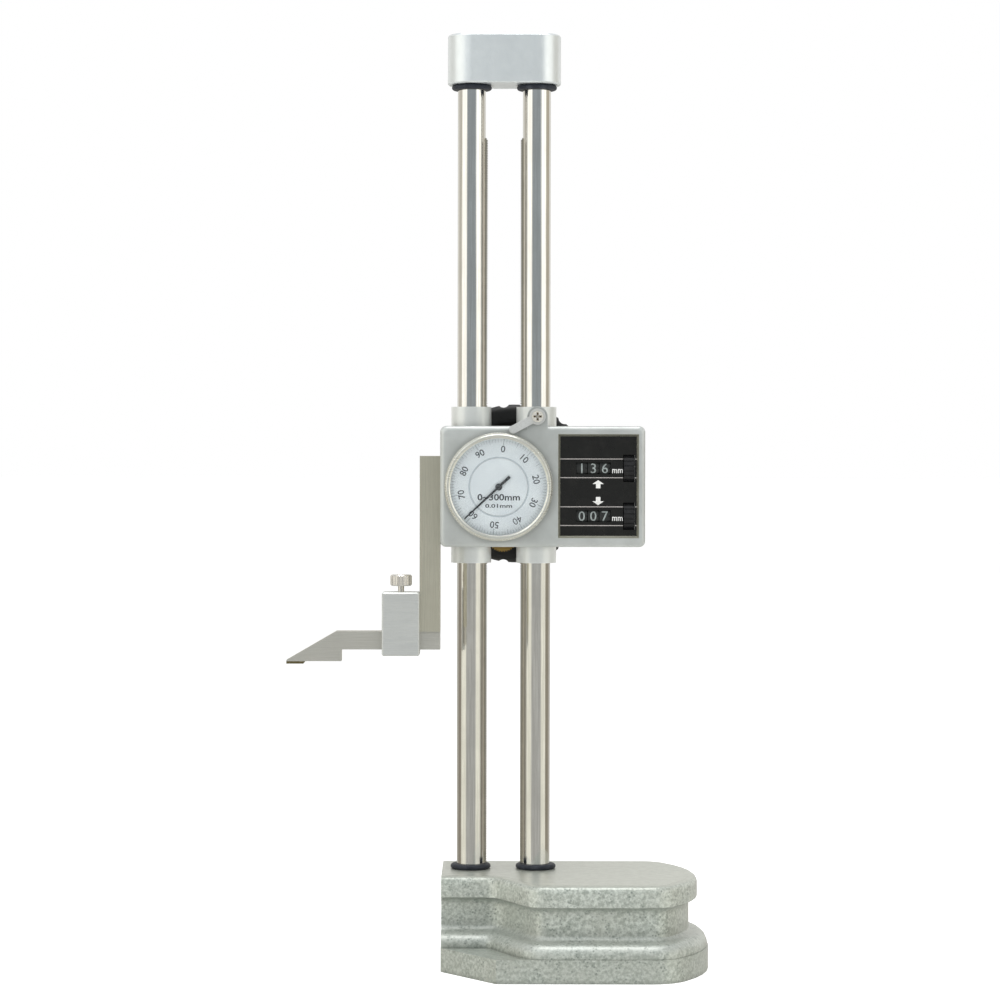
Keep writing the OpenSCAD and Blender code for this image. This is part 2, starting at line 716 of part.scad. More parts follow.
module housing_screws() {
    color("#55565a") for (pos = housing_screw_spots)
        translate([pos[0], plate_y, pos[1]]) rotate([-90, 0, 0])
            cap_screw(housing_screw_d, housing_screw_len, housing_screw_head_d, housing_screw_head_h);
}

// Plate on three posts that carries the front ends of the arbors
module movement_bridge() {
    color("#c2a35a") difference() {
        union() {
            rod_y(bridge_plate_pos, bridge_plate_d, bridge_plate_y, bridge_plate_y + bridge_plate_t);
            for (a = bridge_post_angles)
                rod_y(bridge_plate_pos + polar(bridge_post_r, a), bridge_post_d, bridge_plate_y, plate_front);
        }
        for (pos = [first_pos, second_pos, dial_pos])
            rod_y(pos, arbor_d + 2 * run_fit, bridge_plate_y - past, bridge_plate_y + bridge_plate_t + past);
    }
}

// Brass gear on the left rack
module measuring_gear() {
    color("#b8923f") {
        rod_y(measuring_pos, arbor_d, plate_front, web_y + web_t);
        rod_y(measuring_pos, 2 * arbor_d, plate_y + free_gap, web_y - free_gap);
        gear(measuring_pos, measuring_teeth, rack_module, measuring_angle, -rack_gear_w / 2, rack_gear_w / 2);
    }
}
module first_arbor() {
    color("#b8923f") {
        rod_y(first_pos, arbor_d, bridge_plate_y, web_y + web_t);
        gear(first_pos, rack_pinion_teeth, rack_module, first_angle, -rack_gear_w / 2, rack_gear_w / 2);
        gear(first_pos, first_wheel_teeth, train_module, first_angle,
            first_wheel_y, first_wheel_y + train_gear_w);
    }
}
module second_arbor() {
    color("#b8923f") {
        rod_y(second_pos, arbor_d, bridge_plate_y, plate_y);
        gear(second_pos, train_pinion_teeth, train_module, second_angle,
            first_wheel_y - pinion_spare, first_wheel_y + train_gear_w + pinion_spare);
        gear(second_pos, second_wheel_teeth, train_module, second_angle,
            second_wheel_y, second_wheel_y + train_gear_w);
    }
}
module pointer_arbor() {
    color("#b9bcc0") {
        rod_y(dial_pos, arbor_d, front_y - pointer_rise, plate_y);
        gear(dial_pos, train_pinion_teeth, train_module, last_angle,
            second_wheel_y - pinion_spare, second_wheel_y + train_gear_w + pinion_spare);
    }
}
// Flat strip along +Y that changes from one width to another
module taper(w0, w1, len) {
    polygon([[-w0 / 2, 0], [w0 / 2, 0], [w1 / 2, len], [-w1 / 2, len]]);
}
// Pointer with a slim blade, a thicker tail and a round hub
module pointer() {
    blade_w = 1.2;
    tail_w = 1.5;
    hub_d = 3.4;
    color("#15161a") slab_y(front_y - pointer_rise - pointer_t, front_y - pointer_rise)
        translate(dial_pos) rotate(-pointer_angle) {
            taper(blade_w, blade_w / 2, pointer_len);
            rotate(180) taper(blade_w, tail_w, pointer_tail);
            circle(d = hub_d);
        }
}

// Things turned about the dial axis, drawn as radius and height in front of the housing
module dial_turned() {
    translate([dial_pos[0], front_y, dial_pos[1]]) rotate([90, 0, 0]) rotate_extrude($fn = 128) children();
}
module bezel() {
    edge = 0.6;
    color("#cfccc2") dial_turned() polygon([
        [seat_d / 2 + run_fit, skirt_gap], [bezel_d / 2, skirt_gap],
        [bezel_d / 2, bezel_h - edge], [bezel_d / 2 - edge, bezel_h], [bezel_open_r, bezel_h],
        [bezel_open_r, bezel_h - bezel_lip], [dial_r, bezel_h - bezel_lip],
        [dial_r, dial_floor], [seat_d / 2 + run_fit, dial_floor]]);
}
// Numbered ring that turns with the bezel
module dial_plate() {
    ring_r = centre_r + run_fit;
    color("#e6eef2") dial_turned() translate([ring_r, dial_floor]) square([dial_r - ring_r, dial_t]);
}
// Fixed middle of the dial, on a hollow stem round the pointer's arbor
module dial_centre() {
    hole_r = arbor_d / 2 + free_gap;
    stem_back = front_y - bridge_plate_y;
    color("#e6eef2") dial_turned() {
        translate([hole_r, dial_floor]) square([centre_r - hole_r, dial_t]);
        translate([hole_r, stem_back]) square([stem_d / 2 - hole_r, dial_floor - stem_back]);
    }
}
module crystal() {
    color("#dfeaf0", 0.35) dial_turned()
        translate([0, bezel_h - bezel_lip - crystal_t]) square([dial_r, crystal_t]);
}
// Strip from the clamp screw down to the bezel's rim
module bezel_clamp_arm() {
    reach = bezel_d / 2 + free_gap + arm_w / 2;
    tip = dial_pos + polar(reach, 76);
    line = tip - clamp_pos;
    color("#e2e2e0") slab_y(front_y - arm_t, front_y) difference() {
        union() {
            translate(clamp_pos) circle(d = 2 * arm_w);
            translate(tip) circle(d = arm_w);
            translate(clamp_pos) rotate(heading(line))
                translate([0, -arm_w / 2]) square([norm(line), arm_w]);
        }
        translate(clamp_pos) circle(d = clamp_d + 2 * run_fit);
    }
}
module bezel_clamp_screw() {
    head_d = 1.4 * arm_w;
    head_h = 2.4;
    slot_w = 1;
    head_y = front_y - arm_t - head_h;
    color("#c8b184") difference() {
        union() {
            rod_y(clamp_pos, clamp_d - 2 * run_fit, front_y - arm_t - past, front_y + 2 * lug_r);
            slab_y(head_y, front_y - arm_t) translate(clamp_pos) circle(d = head_d);
        }
        for (size = [[head_d * 0.7, slot_w], [slot_w, head_d * 0.7]])
            slab_y(head_y - past, head_y + head_h / 2) translate(clamp_pos) square(size, center = true);
    }
}

module counter_panel() {
    drums_left = digit_x - digit_pitch / 2;
    reset_gap = 2 * sqrt(pow(reset_d / 2, 2) - pow(counter_back - panel_t, 2)) + 2 * free_gap;
    color("#17181a") difference() {
        translate([panel_x, panel_front, panel_mid_z - panel_h / 2]) cube([panel_w, panel_t, panel_h]);
        for (z = counter_z) {
            translate([panel_x - past, panel_front - past, z - channel_h / 2])
                cube([panel_w + 2 * past, past + channel_depth, channel_h]);
            translate([drums_left, panel_front - past, z - sight_h / 2])
                cube([3 * digit_pitch, panel_t + 2 * past, sight_h]);
            translate([reset_x - reset_w / 2 - free_gap, panel_front - past, z - reset_gap / 2])
                cube([reset_w + 2 * free_gap, panel_t + 2 * past, reset_gap]);
        }
    }
}
// U-shaped frame that carries both counter shafts
module counter_bracket() {
    low = counter_z[0] - drum_d / 2;
    tall = counter_z[1] + drum_d / 2 - low;
    cheek_front = counter_y - counter_shaft_d - 1;
    color("#8d9094") difference() {
        union() {
            translate([cheek_left, plate_front - bracket_back_t, low])
                cube([cheek_right + cheek_t - cheek_left, bracket_back_t, tall]);
            for (x = [cheek_left, cheek_right])
                translate([x, cheek_front, low]) cube([cheek_t, plate_front - cheek_front, tall]);
        }
        for (z = counter_z)
            rod_x(cheek_left - past, cheek_right + cheek_t + past, counter_y, z,
                counter_shaft_d + 2 * run_fit);
    }
}
// Digit drum with a hub that fills its pitch and a toothed rim for the carry
module digit_drum(place, z) {
    carry_teeth = 20;
    carry_w = 1;
    x = digit_x + place * digit_pitch;
    color("#202123") difference() {
        union() {
            rod_x(x - drum_w / 2, x + drum_w / 2, counter_y, z, drum_d);
            rod_x(x - drum_w / 2 - drum_hub_out, x + drum_w / 2 + drum_hub_out, counter_y, z, drum_d / 2);
        }
        rod_x(x - drum_w, x + drum_w, counter_y, z, counter_shaft_d + 2 * run_fit);
        for (k = [0 : carry_teeth - 1])
            translate([x + drum_w / 2, counter_y, z]) rotate([360 * k / carry_teeth, 0, 0])
                translate([0, 0, drum_d / 2])
                    cube([2 * carry_w, drum_d / carry_teeth, carry_w], center = true);
    }
}
module upper_hundreds_drum() { digit_drum(0, counter_z[1]); }
module upper_tens_drum() { digit_drum(1, counter_z[1]); }
module upper_units_drum() { digit_drum(2, counter_z[1]); }
module lower_hundreds_drum() { digit_drum(0, counter_z[0]); }
module lower_tens_drum() { digit_drum(1, counter_z[0]); }
module lower_units_drum() { digit_drum(2, counter_z[0]); }

module counter_shaft(z) {
    collar_d = counter_shaft_d + 2;
    color("#a7a9ac") {
        rod_x(cheek_left - 1, reset_x + reset_w / 2, counter_y, z, counter_shaft_d);
        rod_x(cheek_left - 1 - free_gap, cheek_left - free_gap, counter_y, z, collar_d);
    }
}
module upper_counter_shaft() { counter_shaft(counter_z[1]); }
module lower_counter_shaft() { counter_shaft(counter_z[0]); }
// Thumb wheel with a ribbed edge
module reset_wheel(z) {
    ribs = 30;
    rib_depth = 0.5;
    color("#101113") difference() {
        rod_x(reset_x - reset_w / 2, reset_x + reset_w / 2, counter_y, z, reset_d);
        rod_x(reset_x - reset_w, reset_x + reset_w, counter_y, z, counter_shaft_d);
        for (k = [0 : ribs - 1])
            translate([reset_x, counter_y, z]) rotate([360 * k / ribs, 0, 0])
                translate([0, 0, reset_d / 2]) cube([2 * reset_w, 1, 2 * rib_depth], center = true);
    }
}
module upper_reset_wheel() { reset_wheel(counter_z[1]); }
module lower_reset_wheel() { reset_wheel(counter_z[0]); }

module feed_bush() {
    flange_t = 1.5;
    color("#b08d57") difference() {
        union() {
            rod_y(feed_pos, feed_bush_d, web_y, web_y + feed_bush_len);
            rod_y(feed_pos, feed_bush_d + 3, web_y + web_t, web_y + web_t + flange_t);
        }
        rod_y(feed_pos, feed_shaft_d + 2 * run_fit, web_y - past, web_y + feed_bush_len + past);
    }
}
module feed_shaft() {
    color("#a7a9ac") {
        rod_y(feed_pos, feed_shaft_d, plate_front, wheel_y + wheel_w);
        gear(feed_pos, rack_pinion_teeth, rack_module, feed_angle, -rack_gear_w / 2, rack_gear_w / 2);
    }
}
// Dished wheel with a round rim, a hub and finger scallops
module handwheel() {
    rim_r = wheel_w / 2;
    hub_r = feed_shaft_d / 2 + 6;
    scallop_d = PI * wheel_d / wheel_scallops * 0.6;
    color("#121314") difference() {
        translate([feed_pos[0], wheel_y, feed_pos[1]]) rotate([-90, 0, 0]) rotate_extrude($fn = 96) {
            translate([feed_shaft_d / 2, 0]) square([hub_r - feed_shaft_d / 2, wheel_w]);
            translate([hub_r - past, wheel_w * 0.3]) square([wheel_d / 2 - rim_r - hub_r, wheel_w * 0.4]);
            translate([wheel_d / 2 - rim_r, rim_r]) round_rect(wheel_w, wheel_w, wheel_w * 0.35);
        }
        for (k = [0 : wheel_scallops - 1])
            rod_y(feed_pos + polar(wheel_d / 2 + scallop_d * 0.3, 360 * (k + 0.5) / wheel_scallops),
                scallop_d, wheel_y - past, wheel_y + wheel_w + past, $fn = 24);
    }
}

// Jaw bar with the nose that the scriber is clamped against
module jaw_bar() {
    nose_left = jaw_left - box_len;
    color("#a59f92") difference() {
        union() {
            translate([jaw_left, jaw_y - jaw_d / 2, jaw_under])
                cube([jaw_w, jaw_d, housing_z + jaw_top - jaw_under]);
            translate([nose_left, jaw_y - scriber_bar / 2, jaw_under])
                cube([box_len + past, scriber_bar, nose_h]);
        }
        for (z = jaw_screw_z) {
            rod_x(jaw_left - past, jaw_right + past, jaw_y, z, jaw_screw_d);
            rod_x(jaw_left - past, jaw_left + jaw_screw_head_h, jaw_y, z, jaw_screw_head_d);
        }
    }
}
module jaw_screws() {
    color("#3a3a3c") for (z = jaw_screw_z)
        translate([jaw_left + jaw_screw_head_h, jaw_y, z]) rotate([0, -90, 0])
            cap_screw(jaw_screw_d, jaw_w - jaw_screw_head_h + jaw_wall, jaw_screw_head_d, jaw_screw_head_h);
}
// Box that draws the scriber up against the nose
module clamp_box() {
    low = scriber_under - box_wall;
    window_w = scriber_bar + 2 * box_fit;
    color("#b4b8b8") difference() {
        translate([box_mid_x, jaw_y, low])
            soft_block(box_len, window_w + 2 * box_wall, box_top - low, 0.8, 0.6, 0.6);
        translate([box_mid_x - box_len, jaw_y - window_w / 2, scriber_under])
            cube([2 * box_len, window_w, box_top - box_wall - scriber_under]);
        translate([box_mid_x, jaw_y, box_top - box_wall - past])
            cylinder(d = clamp_screw_d + 2 * run_fit, h = box_wall + 2 * past);
    }
}
// Scriber with its sloping beak
module scriber_beam() {
    step_x = jaw_right - scriber_body;
    color("#b3aea3") slab_y(jaw_y - scriber_bar / 2, jaw_y + scriber_bar / 2) polygon([
        [jaw_right, jaw_under], [scriber_end + scriber_slope, jaw_under],
        [scriber_end, beak_under + beak_end], [scriber_end, beak_under],
        [step_x, beak_under], [step_x, scriber_under], [jaw_right, scriber_under]]);
}
module scriber_tip() {
    lean = 1;
    color("#4a4a4c") slab_y(jaw_y - scriber_bar / 2, jaw_y + scriber_bar / 2) polygon([
        [scriber_end, beak_under], [scriber_end, beak_under - tip_t],
        [scriber_end + tip_len - lean, beak_under - tip_t], [scriber_end + tip_len, beak_under]]);
}
// Knurled thumb screw of the clamp box
module scriber_clamp_screw() {
    flutes = 24;
    flute_d = 0.9;
    edge = 0.6;
    head_r = clamp_head_d / 2;
    head_z = box_top + clamp_neck;
    color("#c2c2bd") difference() {
        union() {
            translate([box_mid_x, jaw_y, jaw_under + nose_h])
                cylinder(d = clamp_screw_d, h = head_z + 1 - jaw_under - nose_h);
            translate([box_mid_x, jaw_y, head_z]) rotate_extrude() polygon([
                [0, 0], [head_r - edge, 0], [head_r, edge], [head_r, clamp_head_h - edge],
                [head_r - edge, clamp_head_h], [0, clamp_head_h]]);
        }
        for (k = [0 : flutes - 1])
            translate([box_mid_x, jaw_y, head_z - past]) rotate(360 * k / flutes)
                translate([head_r + flute_d / 5, 0, 0])
                    cylinder(d = flute_d, h = clamp_head_h + 2 * past, $fn = 16);
    }
}

base_casting();
column_left();
column_right();
measuring_rack();
feed_rack();
base_bolts();
bridge_bolts();
lower_bumpers();
upper_bumpers();
top_bridge();
slider_frame();
slide_bushes();
housing();
housing_screws();
movement_bridge();
counter_panel();
counter_bracket();
feed_bush();
jaw_bar();
jaw_screws();
clamp_box();
bezel_clamp_arm();
measuring_gear();
first_arbor();
second_arbor();
pointer_arbor();
pointer();
bezel();
dial_plate();
dial_centre();
crystal();
bezel_clamp_screw();
feed_shaft();
handwheel();
upper_units_drum();
upper_tens_drum();
upper_hundreds_drum();
lower_units_drum();
lower_tens_drum();
lower_hundreds_drum();
upper_counter_shaft();
upper_reset_wheel();
lower_counter_shaft();
lower_reset_wheel();
scriber_beam();
scriber_tip();
scriber_clamp_screw();
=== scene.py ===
"""Looks, light and camera for a two-column dial height gauge."""

import json
import math

import bmesh
import bpy
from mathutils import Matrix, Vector


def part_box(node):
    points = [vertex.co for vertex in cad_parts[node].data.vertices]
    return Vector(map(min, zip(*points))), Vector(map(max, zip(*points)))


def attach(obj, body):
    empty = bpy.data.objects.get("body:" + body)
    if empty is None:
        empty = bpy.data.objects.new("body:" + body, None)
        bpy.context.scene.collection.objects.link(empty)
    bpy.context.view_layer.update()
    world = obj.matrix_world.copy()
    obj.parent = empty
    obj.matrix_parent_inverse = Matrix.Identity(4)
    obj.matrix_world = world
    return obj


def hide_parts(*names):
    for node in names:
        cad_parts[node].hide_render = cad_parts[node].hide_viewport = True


MM = 0.001
# Places of the colour sockets of a Mix node
MIX_A = 6
MIX_B = 7
MIX_RESULT = 2
# Scale of the noise along X, Y and Z, for streaks that run up or across
UP = (1, 1, 0.03)
ACROSS = (0.03, 1, 1)
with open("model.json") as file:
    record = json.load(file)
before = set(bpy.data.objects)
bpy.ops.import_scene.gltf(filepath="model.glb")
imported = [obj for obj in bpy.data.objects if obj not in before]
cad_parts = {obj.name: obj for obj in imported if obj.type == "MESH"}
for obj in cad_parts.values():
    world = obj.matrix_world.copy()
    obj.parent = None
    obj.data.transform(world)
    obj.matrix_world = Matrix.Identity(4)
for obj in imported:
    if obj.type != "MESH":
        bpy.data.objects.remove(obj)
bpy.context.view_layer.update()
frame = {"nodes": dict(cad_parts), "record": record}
nodes = frame["nodes"]


# Material graphs

class Nodes:
    """A node tree to which nodes are added."""

    def __init__(self, tree):
        self.tree = tree
        self.link = tree.links.new

    def add(self, kind, **settings):
        node = self.tree.nodes.new(kind)
        for name, value in settings.items():
            setattr(node, name, value)
        return node


class Graph(Nodes):
    """A Principled material built in object coordinates, which are metres in the part's frame."""

    def __init__(self, name, **inputs):
        self.material = bpy.data.materials.new(name)
        self.material.use_nodes = True
        super().__init__(self.material.node_tree)
        self.shader = self.tree.nodes["Principled BSDF"]
        self.coords = self.add("ShaderNodeTexCoord").outputs["Object"]
        self.set(**inputs)

    def put(self, socket, value):
        """Links another node's output to a socket, or sets the socket to a constant."""
        if isinstance(value, bpy.types.NodeSocket):
            self.link(value, socket)
        else:
            socket.default_value = value

    def set(self, **inputs):
        """Sets shader inputs by name, with _ for a space, to constants or other nodes' outputs."""
        for name, value in inputs.items():
            self.put(self.shader.inputs[name.replace("_", " ")], value)

    def stretched(self, stretch):
        """Object coordinates, scaled along each axis."""
        if stretch == (1, 1, 1):
            return self.coords
        mapping = self.add("ShaderNodeMapping")
        mapping.inputs["Scale"].default_value = stretch
        self.put(mapping.inputs["Vector"], self.coords)
        return mapping.outputs["Vector"]

    def noise(self, per_metre, detail=3.0, rough=0.5, stretch=(1, 1, 1)):
        """Cloudy noise from 0 to 1."""
        node = self.add("ShaderNodeTexNoise")
        self.put(node.inputs["Vector"], self.stretched(stretch))
        node.inputs["Scale"].default_value = per_metre
        node.inputs["Detail"].default_value = detail
        node.inputs["Roughness"].default_value = rough
        return node.outputs["Fac"]

    def cells(self, per_metre, feature="F1"):
        """Distance to the nearest of many scattered points."""
        node = self.add("ShaderNodeTexVoronoi", feature=feature)
        self.put(node.inputs["Vector"], self.coords)
        node.inputs["Scale"].default_value = per_metre
        return node.outputs["Distance"]

    def spread(self, value, low, high, to_low=0.0, to_high=1.0):
        """Maps low to high smoothly onto another range."""
        node = self.add("ShaderNodeMapRange", interpolation_type="SMOOTHSTEP")
        limits = {"From Min": low, "From Max": high, "To Min": to_low, "To Max": to_high}
        for name, number in limits.items():
            node.inputs[name].default_value = number
        self.put(node.inputs["Value"], value)
        return node.outputs["Result"]

    def math(self, operation, a, b):
        node = self.add("ShaderNodeMath", operation=operation)
        self.put(node.inputs[0], a)
        self.put(node.inputs[1], b)
        return node.outputs["Value"]

    def mix(self, amount, a, b):
        node = self.add("ShaderNodeMix", data_type="RGBA")
        self.put(node.inputs["Factor"], amount)
        for socket, value in ((node.inputs[MIX_A], a), (node.inputs[MIX_B], b)):
            self.put(socket, (*value, 1.0) if isinstance(value, tuple) else value)
        return node.outputs[MIX_RESULT]

    def bump(self, height, strength, distance, under=None):
        """Normal of a fine relief, on top of another relief where one is given."""
        node = self.add("ShaderNodeBump")
        node.inputs["Strength"].default_value = strength
        node.inputs["Distance"].default_value = distance
        self.put(node.inputs["Height"], height)
        if under:
            self.put(node.inputs["Normal"], under)
        return node.outputs["Normal"]

    def scaled(self, value, share):
        return self.math("MULTIPLY", value, share)

    def along(self, axis, vector):
        split = self.add("ShaderNodeSeparateXYZ")
        self.put(split.inputs["Vector"], vector)
        return split.outputs[axis]

    def facing(self, axis):
        """How far the surface faces along X, Y or Z of the part, from -1 to 1."""
        return self.along(axis, self.add("ShaderNodeTexCoord").outputs["Normal"])

    def above(self, height, fade):
        """1 above a height in metres and 0 below it, over a soft border."""
        return self.spread(self.along("Z", self.coords), height - fade, height)

    def edges(self, radius):
        """1 along sharp edges and 0 on flat faces, from the angle to a rounded normal."""
        rounded = self.add("ShaderNodeBevel", samples=4)
        rounded.inputs["Radius"].default_value = radius
        plain = self.add("ShaderNodeNewGeometry")
        dot = self.add("ShaderNodeVectorMath", operation="DOT_PRODUCT")
        self.put(dot.inputs[0], rounded.outputs["Normal"])
        self.put(dot.inputs[1], plain.outputs["Normal"])
        return self.spread(dot.outputs["Value"], 0.99, 0.75)

    def hollows(self, reach):
        """1 deep in a recess and 0 on open faces."""
        shade = self.add("ShaderNodeAmbientOcclusion", samples=8)
        shade.inputs["Distance"].default_value = reach
        return self.spread(shade.outputs["AO"], 0.85, 0.45)


def base_tone(g, crown):
    """Colour and mottle of the base: pale on the flange as a painted highlight, and darker at the foot,
    in the hollows and under the lip as painted shade.
    """
    flange_low = 0.3 * crown
    flange_high = 0.57 * crown
    groove_high = 0.77 * crown
    lip_low = 0.785 * crown
    foot_shade = 0.2
    cloud = g.spread(g.noise(45, 4, 0.6), 0.3, 0.7)
    mottle = g.spread(g.noise(650, 4, 0.65), 0.32, 0.68)
    body = g.mix(mottle, (0.31, 0.345, 0.30), (0.65, 0.69, 0.63))
    body = g.mix(g.scaled(cloud, 0.35), body, (0.53, 0.54, 0.47))
    above_flange = g.above(flange_high, 3 * MM)
    flange = g.math("SUBTRACT", g.above(flange_low, 1.5 * MM), above_flange)
    # Painted highlight: the upward-facing flange is mixed paler, in place of its broad highlight
    wear_and_sheen = g.math("MULTIPLY", g.spread(g.facing("Z"), 0.1, 0.6), flange)
    body = g.mix(g.scaled(wear_and_sheen, 0.25), body, (0.78, 0.82, 0.80))
    # Painted shade: darker towards the foot, below the top of the flange
    foot = g.math("SUBTRACT", foot_shade, g.scaled(above_flange, foot_shade))
    body = g.mix(foot, body, (0.24, 0.26, 0.23))
    # Painted shadow under the lip and painted shade in the hollows
    under_lip = g.math("SUBTRACT", g.above(groove_high, 4.5 * MM), g.above(lip_low, 0.3 * MM))
    painted_shade = g.scaled(g.math("MAXIMUM", g.hollows(4 * MM), under_lip), 0.5)
    return g.mix(painted_shade, body, (0.15, 0.165, 0.14)), mottle


def hammertone():
    """Grey-green enamel with metal flake, dark specks in clusters, dimples and a smooth top."""
    g = Graph("hammertone_paint", Metallic=0.35, Specular_IOR_Level=0.5)
    g.set(Coat_Weight=0.8, Coat_Roughness=0.32)
    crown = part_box("base_casting")[1].z
    level = g.spread(g.facing("Z"), 0.8, 0.97)
    top = g.math("MULTIPLY", level, g.above(crown - 0.5 * MM, 2 * MM))
    side = g.math("SUBTRACT", 1.0, top)
    body, mottle = base_tone(g, crown)
    crowd = g.spread(g.noise(240, 4, 0.6), 0.44, 0.62)
    speck = g.math("MULTIPLY", g.spread(g.cells(700), 0.52, 0.20), crowd)
    speck = g.math("MULTIPLY", speck, g.scaled(side, 0.8))
    patch = g.spread(g.noise(240, 5, 0.65), 0.35, 0.65)
    ground = g.mix(patch, (0.46, 0.48, 0.42), (0.53, 0.555, 0.49))
    colour = g.mix(top, g.mix(speck, body, (0.20, 0.23, 0.20)), ground)
    dimples = g.math("MULTIPLY", g.cells(650, "SMOOTH_F1"), side)
    grain = g.bump(g.noise(1500, 2), 0.08, 0.08 * MM)
    g.set(
        Base_Color=colour,
        Roughness=g.spread(mottle, 0.0, 1.0, 0.38, 0.48),
        Normal=g.bump(dimples, 0.22, 0.2 * MM, grain),
    )
    return g.material


def satin_paint(name, light, shade, flake, rough=0.32):
    """Fine silver-grey spray paint with metal flake, paler along edges from wear and painted highlight,
    and darker in hollows as painted shade.
    """
    g = Graph(name, Metallic=flake, Specular_IOR_Level=0.5, Coat_Weight=0.2, Coat_Roughness=0.2)
    cloud = g.spread(g.noise(40, 4, 0.6), 0.3, 0.7)
    # Painted shade: a darker copy of the shade colour, laid into hollows
    painted_shade = tuple(0.6 * c for c in shade)
    # Paler edges, partly wear and partly painted highlight
    wear_and_sheen = tuple(min(1.0, 1.12 * c) for c in light)
    body = g.mix(g.scaled(g.hollows(6 * MM), 0.7), g.mix(cloud, shade, light), painted_shade)
    g.set(
        Base_Color=g.mix(g.scaled(g.edges(0.7 * MM), 0.5), body, wear_and_sheen),
        Roughness=g.spread(g.noise(300, 3), 0.3, 0.7, rough - 0.04, rough + 0.04),
        Normal=g.bump(g.noise(2600, 2), 0.08, 0.05 * MM),
    )
    return g.material


def metal(
        name, bright, dark, rough, streak=(1, 1, 1), per_metre=500,
        wear_and_sheen=0.0, relief=0.06, bare=1.0, painted_shade=None):
    """Bare or plated metal with streaks along the working direction, faint stains and painted shade in
    recesses.
    """
    g = Graph(name, Metallic=bare)
    lines = g.spread(g.noise(per_metre, 4, 0.65, streak), 0.3, 0.7)
    stain = g.spread(g.noise(70, 4, 0.6), 0.35, 0.75)
    colour = g.mix(g.scaled(stain, 0.6), g.mix(lines, dark, bright), dark)
    if wear_and_sheen:
        polished = tuple(min(1.0, 1.3 * c) for c in bright)
        colour = g.mix(g.scaled(g.edges(0.5 * MM), wear_and_sheen), colour, polished)
    # Painted shade in recesses, such as a screw's cross
    if painted_shade:
        colour = g.mix(g.hollows(1.2 * MM), colour, painted_shade)
    g.set(
        Base_Color=colour,
        Roughness=g.spread(lines, 0.0, 1.0, rough * 1.25, rough * 0.8),
        Normal=g.bump(lines, relief, 0.05 * MM),
    )
    return g.material


def black_plastic(name, colour, grey, rough, grain=1500, relief=0.15):
    """Moulded black plastic with fine grain, patches of dust and rubbed edges."""
    g = Graph(name, Specular_IOR_Level=0.45)
    dust = g.spread(g.noise(160, 5, 0.7), 0.45, 0.8)
    body = g.mix(g.scaled(dust, 0.6), colour, grey)
    g.set(
        Base_Color=g.mix(g.scaled(g.edges(0.4 * MM), 0.5), body, grey),
        Roughness=g.spread(g.noise(260, 4), 0.3, 0.7, rough * 0.85, rough * 1.2),
        Normal=g.bump(g.noise(grain, 3), relief, 0.05 * MM),
    )
    return g.material


def rubber():
    """Black bumper rubber with a grey bloom."""
    g = Graph("bumper_rubber", Specular_IOR_Level=0.3)
    bloom = g.spread(g.noise(260, 4, 0.6), 0.4, 0.75)
    g.set(
        Base_Color=g.mix(bloom, (0.018, 0.022, 0.032), (0.05, 0.056, 0.07)),
        Roughness=g.spread(bloom, 0.0, 1.0, 0.5, 0.7),
        Normal=g.bump(g.noise(1400, 3), 0.2, 0.06 * MM),
    )
    return g.material


def dial_face():
    """Pale silvered card with the faintest brushed sheen."""
    g = Graph("dial_face", Specular_IOR_Level=0.35)
    cloud = g.spread(g.noise(90, 4, 0.6), 0.3, 0.7)
    fibre = g.spread(g.noise(1800, 2, 0.5, (1, 1, 0.2)), 0.3, 0.7)
    g.set(
        Base_Color=g.mix(cloud, (0.68, 0.725, 0.745), (0.76, 0.805, 0.815)),
        Roughness=g.spread(fibre, 0.0, 1.0, 0.42, 0.55),
        Normal=g.bump(fibre, 0.05, 0.03 * MM),
    )
    return g.material


def crystal():
    """Thin clear cover: almost no tint straight on, a pale painted reflection at grazing angles, a few
    smears.
    """
    g = Graph("clear_crystal", Roughness=0.04, Specular_IOR_Level=0.6)
    rim = g.add("ShaderNodeFresnel")
    rim.inputs["IOR"].default_value = 1.3
    smear = g.spread(g.noise(45, 5, 0.7, (1, 1, 2.5)), 0.55, 0.8, 0.0, 0.03)
    # Painted reflection: the pale cover colour turns opaque at grazing angles
    grazing_reflection = g.spread(rim.outputs["Fac"], 0.0, 0.8, 0.03, 0.55)
    g.set(
        Base_Color=g.mix(smear, (0.86, 0.92, 0.95), (0.95, 0.97, 0.98)),
        Alpha=g.math("ADD", grazing_reflection, smear),
    )
    return g.material


def ink(name, colour, worn):
    """Printed ink or paint fill with slightly uneven cover."""
    g = Graph(name, Specular_IOR_Level=0.3)
    cover = g.spread(g.noise(900, 4, 0.6), 0.4, 0.75)
    g.set(
        Base_Color=g.mix(cover, colour, worn),
        Roughness=g.spread(cover, 0.0, 1.0, 0.45, 0.6),
        Normal=g.bump(g.noise(2500, 2), 0.08, 0.02 * MM),
    )
    return g.material


# Looks of the record's material slots

